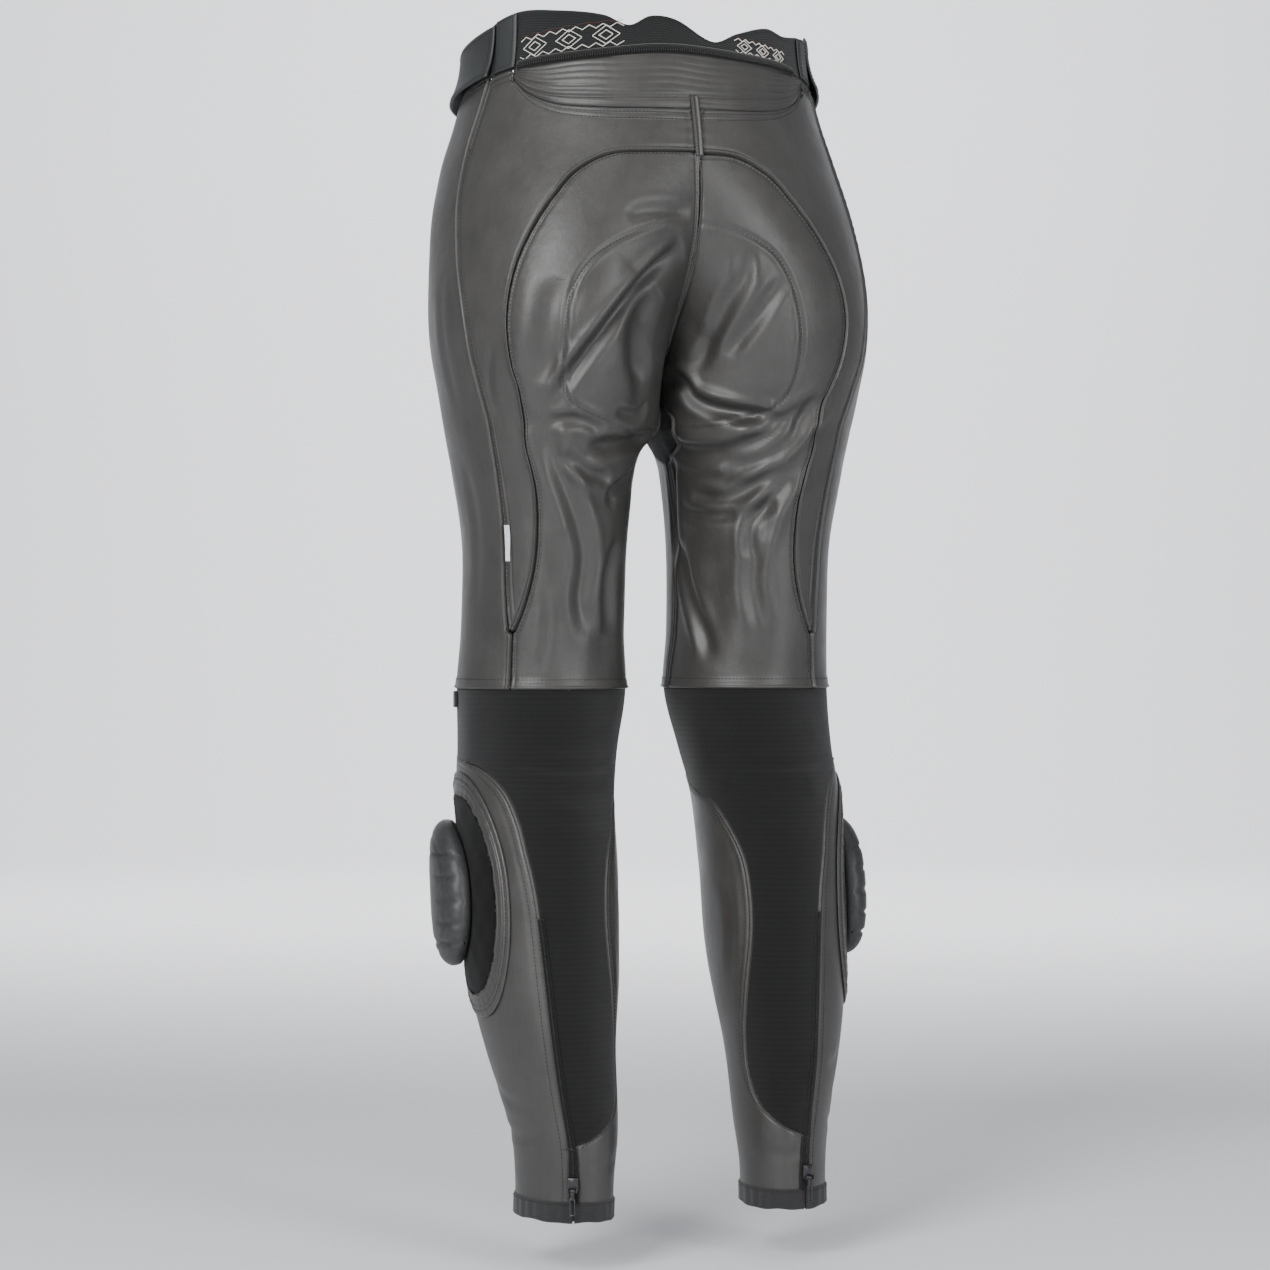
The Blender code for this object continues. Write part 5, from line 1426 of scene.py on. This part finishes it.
def ramp(nodes, stops):
    made = nodes.new("ShaderNodeValToRGB")
    elements = made.color_ramp.elements
    while len(elements) < len(stops):
        elements.new(0.5)
    for element, (place, colour) in zip(elements, stops):
        element.position = place
        element.color = (*colour, 1.0)
    return made


def scaled(colour, share):
    return tuple(min(1.0, c * share) for c in colour)


def leather_finish(name, colour, rough):
    """Satin leather: fine pebble grain, soft mottling, faint long grain and rubbed highlights."""
    made, nodes, links, shader = new_material(name)
    place = nodes.new("ShaderNodeTexCoord")
    mottle = node(nodes, "ShaderNodeTexNoise", in_Scale=26.0, in_Detail=5.0, in_Roughness=0.6)
    links.new(place.outputs["Object"], mottle.inputs["Vector"])
    tone = ramp(nodes, [(0.30, scaled(colour, 0.86)), (0.55, colour), (0.78, scaled(colour, 1.16))])
    links.new(mottle.outputs["Fac"], tone.inputs["Fac"])
    stretch = node(nodes, "ShaderNodeMapping")
    stretch.inputs["Scale"].default_value = (260.0, 260.0, 26.0)
    links.new(place.outputs["Object"], stretch.inputs["Vector"])
    streak = node(nodes, "ShaderNodeTexNoise", in_Scale=1.0, in_Detail=3.0, in_Roughness=0.7)
    links.new(stretch.outputs["Vector"], streak.inputs["Vector"])
    streak_tone = ramp(nodes, [(0.35, (0.90, 0.90, 0.90)), (0.70, (1.0, 1.0, 1.0))])
    links.new(streak.outputs["Fac"], streak_tone.inputs["Fac"])
    mix = node(nodes, "ShaderNodeMix", data_type="RGBA", blend_type="MULTIPLY")
    mix.inputs[0].default_value = 1.0
    links.new(tone.outputs["Color"], mix.inputs[6])
    links.new(streak_tone.outputs["Color"], mix.inputs[7])
    links.new(mix.outputs[2], shader.inputs["Base Color"])
    pebble = node(nodes, "ShaderNodeTexVoronoi", in_Scale=900.0)
    pebble.feature = "DISTANCE_TO_EDGE"
    links.new(place.outputs["Object"], pebble.inputs["Vector"])
    pores = node(nodes, "ShaderNodeTexNoise", in_Scale=620.0, in_Detail=3.0)
    links.new(place.outputs["Object"], pores.inputs["Vector"])
    grain = node(nodes, "ShaderNodeMath", operation="ADD")
    links.new(pebble.outputs["Distance"], grain.inputs[0])
    links.new(pores.outputs["Fac"], grain.inputs[1])
    creased = node(nodes, "ShaderNodeTexNoise", in_Scale=70.0, in_Detail=4.0, in_Roughness=0.65)
    links.new(place.outputs["Object"], creased.inputs["Vector"])
    bump = node(nodes, "ShaderNodeBump", in_Strength=0.28, in_Distance=0.00022)
    links.new(grain.outputs["Value"], bump.inputs["Height"])
    wide = node(nodes, "ShaderNodeBump", in_Strength=0.35, in_Distance=0.0011)
    links.new(creased.outputs["Fac"], wide.inputs["Height"])
    links.new(wide.outputs["Normal"], bump.inputs["Normal"])
    links.new(bump.outputs["Normal"], shader.inputs["Normal"])
    shine = node(nodes, "ShaderNodeMapRange")
    shine.inputs["From Min"].default_value = 0.25
    shine.inputs["From Max"].default_value = 0.75
    shine.inputs["To Min"].default_value = rough - 0.06
    shine.inputs["To Max"].default_value = rough + 0.10
    links.new(mottle.outputs["Fac"], shine.inputs["Value"])
    links.new(shine.outputs["Result"], shader.inputs["Roughness"])
    shader.inputs["Specular IOR Level"].default_value = 0.5
    return made


def knit_finish(name, colour, pitch, level=False, strength=0.55, sheen=0.15):
    """Cloth with cross ribs and fine wales from its UV map; level ribs follow the height instead."""
    made, nodes, links, shader = new_material(name)
    flat = nodes.new("ShaderNodeUVMap")
    place = nodes.new("ShaderNodeTexCoord")
    along, across = nodes.new("ShaderNodeSeparateXYZ"), nodes.new("ShaderNodeSeparateXYZ")
    links.new(place.outputs["Object"] if level else flat.outputs["UV"], along.inputs["Vector"])
    links.new(flat.outputs["UV"], across.inputs["Vector"])
    both = nodes.new("ShaderNodeCombineXYZ")
    links.new(across.outputs["X"], both.inputs["X"])
    links.new(along.outputs["Z" if level else "Y"], both.inputs["Y"])
    ribs = node(nodes, "ShaderNodeTexWave", bands_direction="Y", in_Scale=0.5 / pitch / math.pi)
    ribs.inputs["Distortion"].default_value = 0.5
    ribs.inputs["Detail Scale"].default_value = 30.0
    links.new(both.outputs["Vector"], ribs.inputs["Vector"])
    wales = node(nodes, "ShaderNodeTexWave", bands_direction="X", in_Scale=0.8 / pitch / math.pi)
    links.new(both.outputs["Vector"], wales.inputs["Vector"])
    uneven = node(nodes, "ShaderNodeTexNoise", in_Scale=18.0, in_Detail=3.0)
    links.new(place.outputs["Object"], uneven.inputs["Vector"])
    weave = node(nodes, "ShaderNodeMath", operation="MULTIPLY_ADD")
    links.new(wales.outputs["Fac"], weave.inputs[0])
    weave.inputs[1].default_value = 0.4
    links.new(ribs.outputs["Fac"], weave.inputs[2])
    # Colour: painted shade, darker in the grooves between the ribs and wales, times a random unevenness of the yarn's
    # tone
    shade = node(nodes, "ShaderNodeMath", operation="MULTIPLY")
    links.new(weave.outputs["Value"], shade.inputs[0])
    links.new(uneven.outputs["Fac"], shade.inputs[1])
    tone = ramp(nodes, [(0.10, scaled(colour, 0.80)), (0.7, scaled(colour, 1.20))])
    links.new(shade.outputs["Value"], tone.inputs["Fac"])
    links.new(tone.outputs["Color"], shader.inputs["Base Color"])
    bump = node(nodes, "ShaderNodeBump", in_Strength=strength, in_Distance=0.0004)
    links.new(weave.outputs["Value"], bump.inputs["Height"])
    links.new(bump.outputs["Normal"], shader.inputs["Normal"])
    shader.inputs["Roughness"].default_value = 0.95
    shader.inputs["Specular IOR Level"].default_value = 0.15
    shader.inputs["Sheen Weight"].default_value = sheen
    shader.inputs["Sheen Roughness"].default_value = 0.6
    return made


def pile_finish(name, colour):
    """Hook-and-loop pile: a dull fuzz."""
    made, nodes, links, shader = new_material(name)
    place = nodes.new("ShaderNodeTexCoord")
    fuzz = node(nodes, "ShaderNodeTexNoise", in_Scale=1400.0, in_Detail=2.0, in_Roughness=0.8)
    links.new(place.outputs["Object"], fuzz.inputs["Vector"])
    tone = ramp(nodes, [(0.3, scaled(colour, 0.5)), (0.75, scaled(colour, 1.5))])
    links.new(fuzz.outputs["Fac"], tone.inputs["Fac"])
    links.new(tone.outputs["Color"], shader.inputs["Base Color"])
    bump = node(nodes, "ShaderNodeBump", in_Strength=0.8, in_Distance=0.0006)
    links.new(fuzz.outputs["Fac"], bump.inputs["Height"])
    links.new(bump.outputs["Normal"], shader.inputs["Normal"])
    shader.inputs["Roughness"].default_value = 0.97
    shader.inputs["Sheen Weight"].default_value = 0.06
    shader.inputs["Specular IOR Level"].default_value = 0.2
    return made


def moulded_finish(name, colour, rough, metal=0.0):
    """Moulded or plated surface with small unevenness."""
    made, nodes, links, shader = new_material(name)
    place = nodes.new("ShaderNodeTexCoord")
    spots = node(nodes, "ShaderNodeTexNoise", in_Scale=240.0, in_Detail=4.0)
    links.new(place.outputs["Object"], spots.inputs["Vector"])
    tone = ramp(nodes, [(0.35, scaled(colour, 0.85)), (0.7, scaled(colour, 1.2))])
    links.new(spots.outputs["Fac"], tone.inputs["Fac"])
    links.new(tone.outputs["Color"], shader.inputs["Base Color"])
    bump = node(nodes, "ShaderNodeBump", in_Strength=0.2, in_Distance=0.0003)
    links.new(spots.outputs["Fac"], bump.inputs["Height"])
    links.new(bump.outputs["Normal"], shader.inputs["Normal"])
    shader.inputs["Roughness"].default_value = rough
    shader.inputs["Metallic"].default_value = metal
    return made


# Settings a user would change


class TrousersColours(bpy.types.PropertyGroup):
    """Colours of the finishes, linear."""
    leather: bpy.props.FloatVectorProperty(
        name="Leather", description="Graphite leather", subtype="COLOR", size=3, default=(0.043, 0.0412, 0.0390))
    knit: bpy.props.FloatVectorProperty(
        name="Stretch knit", description="Black knit of the calf and crotch", subtype="COLOR", size=3,
        default=(0.0058, 0.0058, 0.0060))
    elastic: bpy.props.FloatVectorProperty(
        name="Elastic", description="Dark elastic of the waist", subtype="COLOR", size=3,
        default=(0.0095, 0.0105, 0.0105))
    binding: bpy.props.FloatVectorProperty(
        name="Binding", description="Cuff binding", subtype="COLOR", size=3, default=(0.024, 0.024, 0.025))
    slider: bpy.props.FloatVectorProperty(
        name="Knee slider", description="Moulded slider", subtype="COLOR", size=3,
        default=(0.026, 0.027, 0.028))
    thread: bpy.props.FloatVectorProperty(
        name="Thread", description="Topstitching", subtype="COLOR", size=3, default=(0.012, 0.012, 0.012))


class TrousersSizes(bpy.types.PropertyGroup):
    """Sizes of the sewing and the knit."""
    stitch_pitch: bpy.props.FloatProperty(
        name="Stitch pitch", description="From one stitch to the next", unit="LENGTH", default=0.0034)
    stitch_length: bpy.props.FloatProperty(
        name="Stitch length", description="Thread that shows in one stitch", unit="LENGTH", default=0.0025)
    thread_radius: bpy.props.FloatProperty(
        name="Thread radius", description="Half the thread's thickness", unit="LENGTH", default=0.00032)
    rib_pitch: bpy.props.FloatProperty(
        name="Rib pitch", description="Spacing of the knit's cross ribs", unit="LENGTH", default=0.0024)


class TROUSERS_OT_finishes(bpy.types.Operator):
    """Make the finishes"""
    bl_idname = "trousers.finishes"
    bl_label = "Finishes"

    def execute(self, context):
        colours, sizes = context.scene.trousers_colours, context.scene.trousers_sizes
        leather_finish("Leather", tuple(colours.leather), 0.40)
        knit_finish("Knit", tuple(colours.knit), sizes.rib_pitch, level=True, strength=0.35)
        knit_finish("Elastic", tuple(colours.elastic), 0.0011, strength=0.7)
        knit_finish("Binding", tuple(colours.binding), 0.0009)
        pile_finish("Pile", (0.0030, 0.0030, 0.0032))
        moulded_finish("Slider", tuple(colours.slider), 0.48)
        moulded_finish("Gunmetal", (0.060, 0.060, 0.062), 0.30, 0.85)
        moulded_finish("Coil", (0.008, 0.008, 0.008), 0.30)
        moulded_finish("Thread", tuple(colours.thread), 0.75)
        moulded_finish("Pale thread", (0.62, 0.60, 0.55), 0.8)
        moulded_finish("Rust thread", (0.10, 0.035, 0.022), 0.8)
        moulded_finish("Grey print", (0.18, 0.19, 0.22), 0.8)
        moulded_finish("Raw edge", (0.16, 0.15, 0.14), 0.9)
        knit_finish("Tape", (0.005, 0.005, 0.005), 0.0008, strength=0.5)
        leather_finish("Strap", (0.022, 0.024, 0.024), 0.46)
        knit_finish("Label", (0.72, 0.73, 0.76), 0.0006, strength=0.3)
        return {"FINISHED"}


class TROUSERS_OT_upper(bpy.types.Operator):
    """Leather and gusset above the knee"""
    bl_idname = "trousers.upper"
    bl_label = "Upper legs"

    def execute(self, context):
        for side in (1, -1):
            make_upper(side)
        return {"FINISHED"}


class TROUSERS_OT_lower(bpy.types.Operator):
    """Knit and leather below the knee hem"""
    bl_idname = "trousers.lower"
    bl_label = "Lower legs"

    def execute(self, context):
        for side in (1, -1):
            make_lower(side)
        return {"FINISHED"}


class TROUSERS_OT_waist(bpy.types.Operator):
    """Waistband, lumbar panel, straps, fly and small cloth"""
    bl_idname = "trousers.waist"
    bl_label = "Waist"

    def execute(self, context):
        make_waistband()
        make_lumbar()
        make_straps()
        make_small_cloth()
        make_button()
        return {"FINISHED"}


class TROUSERS_OT_knees(bpy.types.Operator):
    """Knee patches, bands and sliders"""
    bl_idname = "trousers.knees"
    bl_label = "Knees"

    def execute(self, context):
        for side in (1, -1):
            make_knee(side)
        return {"FINISHED"}


class TROUSERS_OT_cuffs(bpy.types.Operator):
    """Cuffs and calf zips"""
    bl_idname = "trousers.cuffs"
    bl_label = "Cuffs and zips"

    def execute(self, context):
        make_cuffs()
        for side in (1, -1):
            make_zip(side)
        return {"FINISHED"}


class TROUSERS_OT_sewing(bpy.types.Operator):
    """Topstitching"""
    bl_idname = "trousers.sewing"
    bl_label = "Sewing"

    def execute(self, context):
        sizes = context.scene.trousers_sizes
        for side in (1, -1):
            sew_panels(side)
        make_thread("topstitching", "Thread", (sizes.stitch_length / 2, sizes.thread_radius), SEWN)
        return {"FINISHED"}


class TROUSERS_OT_stage(bpy.types.Operator):
    """Pale floor and backdrop, soft lights and the camera"""
    bl_idname = "trousers.stage"
    bl_label = "Stage"

    def execute(self, context):
        make_stage(context.scene)
        return {"FINISHED"}


# Stage

CAMERA_TURN = math.radians(20.5)
CAMERA_AWAY, CAMERA_Z = 3.0, -0.49
PHOTO_SIZE, PHOTO_FOCUS = 1270, 3360
FLOOR_Z = -1.03
SWEEP_START, SWEEP_RADIUS = 11.0, 2.0


def area_light(name, place, aim, size, power):
    light = bpy.data.lights.new(name, "AREA")
    light.shape = "RECTANGLE"
    light.size, light.size_y = size
    light.energy = power
    made = bpy.data.objects.new(name, light)
    bpy.context.scene.collection.objects.link(made)
    made.location = place
    made.rotation_euler = (Vector(aim) - Vector(place)).to_track_quat("-Z", "Y").to_euler()
    return made


def make_stage(scene):
    made, nodes, links, shader = new_material("Paper")
    shader.inputs["Base Color"].default_value = (0.84, 0.85, 0.87, 1.0)
    shader.inputs["Roughness"].default_value = 0.9
    away = Vector((math.sin(CAMERA_TURN), math.cos(CAMERA_TURN), 0.0))
    right = Vector((-math.cos(CAMERA_TURN), math.sin(CAMERA_TURN), 0.0))
    maker = bmesh.new()
    bmesh.ops.create_grid(maker, x_segments=1, y_segments=120, size=1.0)
    for vert in maker.verts:
        share = (vert.co.y + 1) / 2
        run = 18.0 * share
        bend = min(max(run - SWEEP_START, 0.0), SWEEP_RADIUS * math.pi / 2)
        level = min(run, SWEEP_START) + SWEEP_RADIUS * math.sin(bend / SWEEP_RADIUS)
        rise = SWEEP_RADIUS * (1 - math.cos(bend / SWEEP_RADIUS)) + max(
            run - SWEEP_START - SWEEP_RADIUS * math.pi / 2, 0.0)
        vert.co = away * (6.0 - level) + right * (vert.co.x * 9.0) + Vector((0, 0, FLOOR_Z + rise))
    mesh = bpy.data.meshes.new("backdrop")
    maker.to_mesh(mesh)
    maker.free()
    mesh.shade_smooth()
    floor = bpy.data.objects.new("backdrop", mesh)
    scene.collection.objects.link(floor)
    mesh.materials.append(made)

    world = scene.world or bpy.data.worlds.new("World")
    scene.world = world
    world.use_nodes = True
    sky = world.node_tree.nodes["Background"]
    sky.inputs["Color"].default_value = (0.82, 0.84, 0.88, 1.0)
    sky.inputs["Strength"].default_value = 0.46

    middle = Vector((0.0, 0.0, -0.45))
    area_light("key", middle + away * 2.2 - right * 1.1 + Vector((0, 0, 1.0)), middle, (1.0, 1.8), 70)
    area_light("fill", middle + away * 2.0 + right * 1.5 + Vector((0, 0, 0.5)), middle, (0.8, 1.8), 30)
    area_light("top", middle + away * 0.2 + Vector((0, 0, 2.2)), middle, (1.6, 1.2), 14)
    area_light("backdrop light", middle - away * 2.6 + Vector((0, 0, 2.6)),
               middle - away * 7.0 + Vector((0, 0, 0.2)), (4.0, 1.0), 330)

    lens = bpy.data.cameras.new("camera")
    lens.sensor_width = 36.0
    lens.lens = 36.0 * PHOTO_FOCUS / PHOTO_SIZE
    camera = bpy.data.objects.new("camera", lens)
    scene.collection.objects.link(camera)
    camera.location = away * CAMERA_AWAY + Vector((0.0, 0.0, CAMERA_Z))
    camera.rotation_euler = (-away).to_track_quat("-Z", "Y").to_euler()
    scene.camera = camera


class TROUSERS_PT_panel(bpy.types.Panel):
    """Lists the settings and the steps."""
    bl_label = "Motorcycle Trousers"
    bl_idname = "TROUSERS_PT_panel"
    bl_space_type = "VIEW_3D"
    bl_region_type = "UI"
    bl_category = "Trousers"

    def draw(self, context):
        for group in (context.scene.trousers_colours, context.scene.trousers_sizes):
            for key in group.__annotations__:
                self.layout.prop(group, key)
        for operator in OPERATORS:
            self.layout.operator(operator.bl_idname)


GROUPS = (TrousersColours, TrousersSizes)
OPERATORS = (
    TROUSERS_OT_finishes, TROUSERS_OT_upper, TROUSERS_OT_lower, TROUSERS_OT_waist, TROUSERS_OT_knees,
    TROUSERS_OT_cuffs, TROUSERS_OT_sewing, TROUSERS_OT_stage,
)
CLASSES = (*GROUPS, *OPERATORS, TROUSERS_PT_panel)


def register():
    for cls in CLASSES:
        bpy.utils.register_class(cls)
    bpy.types.Scene.trousers_colours = bpy.props.PointerProperty(type=TrousersColours)
    bpy.types.Scene.trousers_sizes = bpy.props.PointerProperty(type=TrousersSizes)


def unregister():
    del bpy.types.Scene.trousers_sizes
    del bpy.types.Scene.trousers_colours
    for cls in reversed(CLASSES):
        bpy.utils.unregister_class(cls)


def main():
    register()
    bpy.ops.trousers.finishes()
    bpy.ops.trousers.upper()
    bpy.ops.trousers.lower()
    bpy.ops.trousers.waist()
    bpy.ops.trousers.knees()
    bpy.ops.trousers.cuffs()
    bpy.ops.trousers.sewing()
    bpy.ops.trousers.stage()


if __name__ == "__main__":
    main()
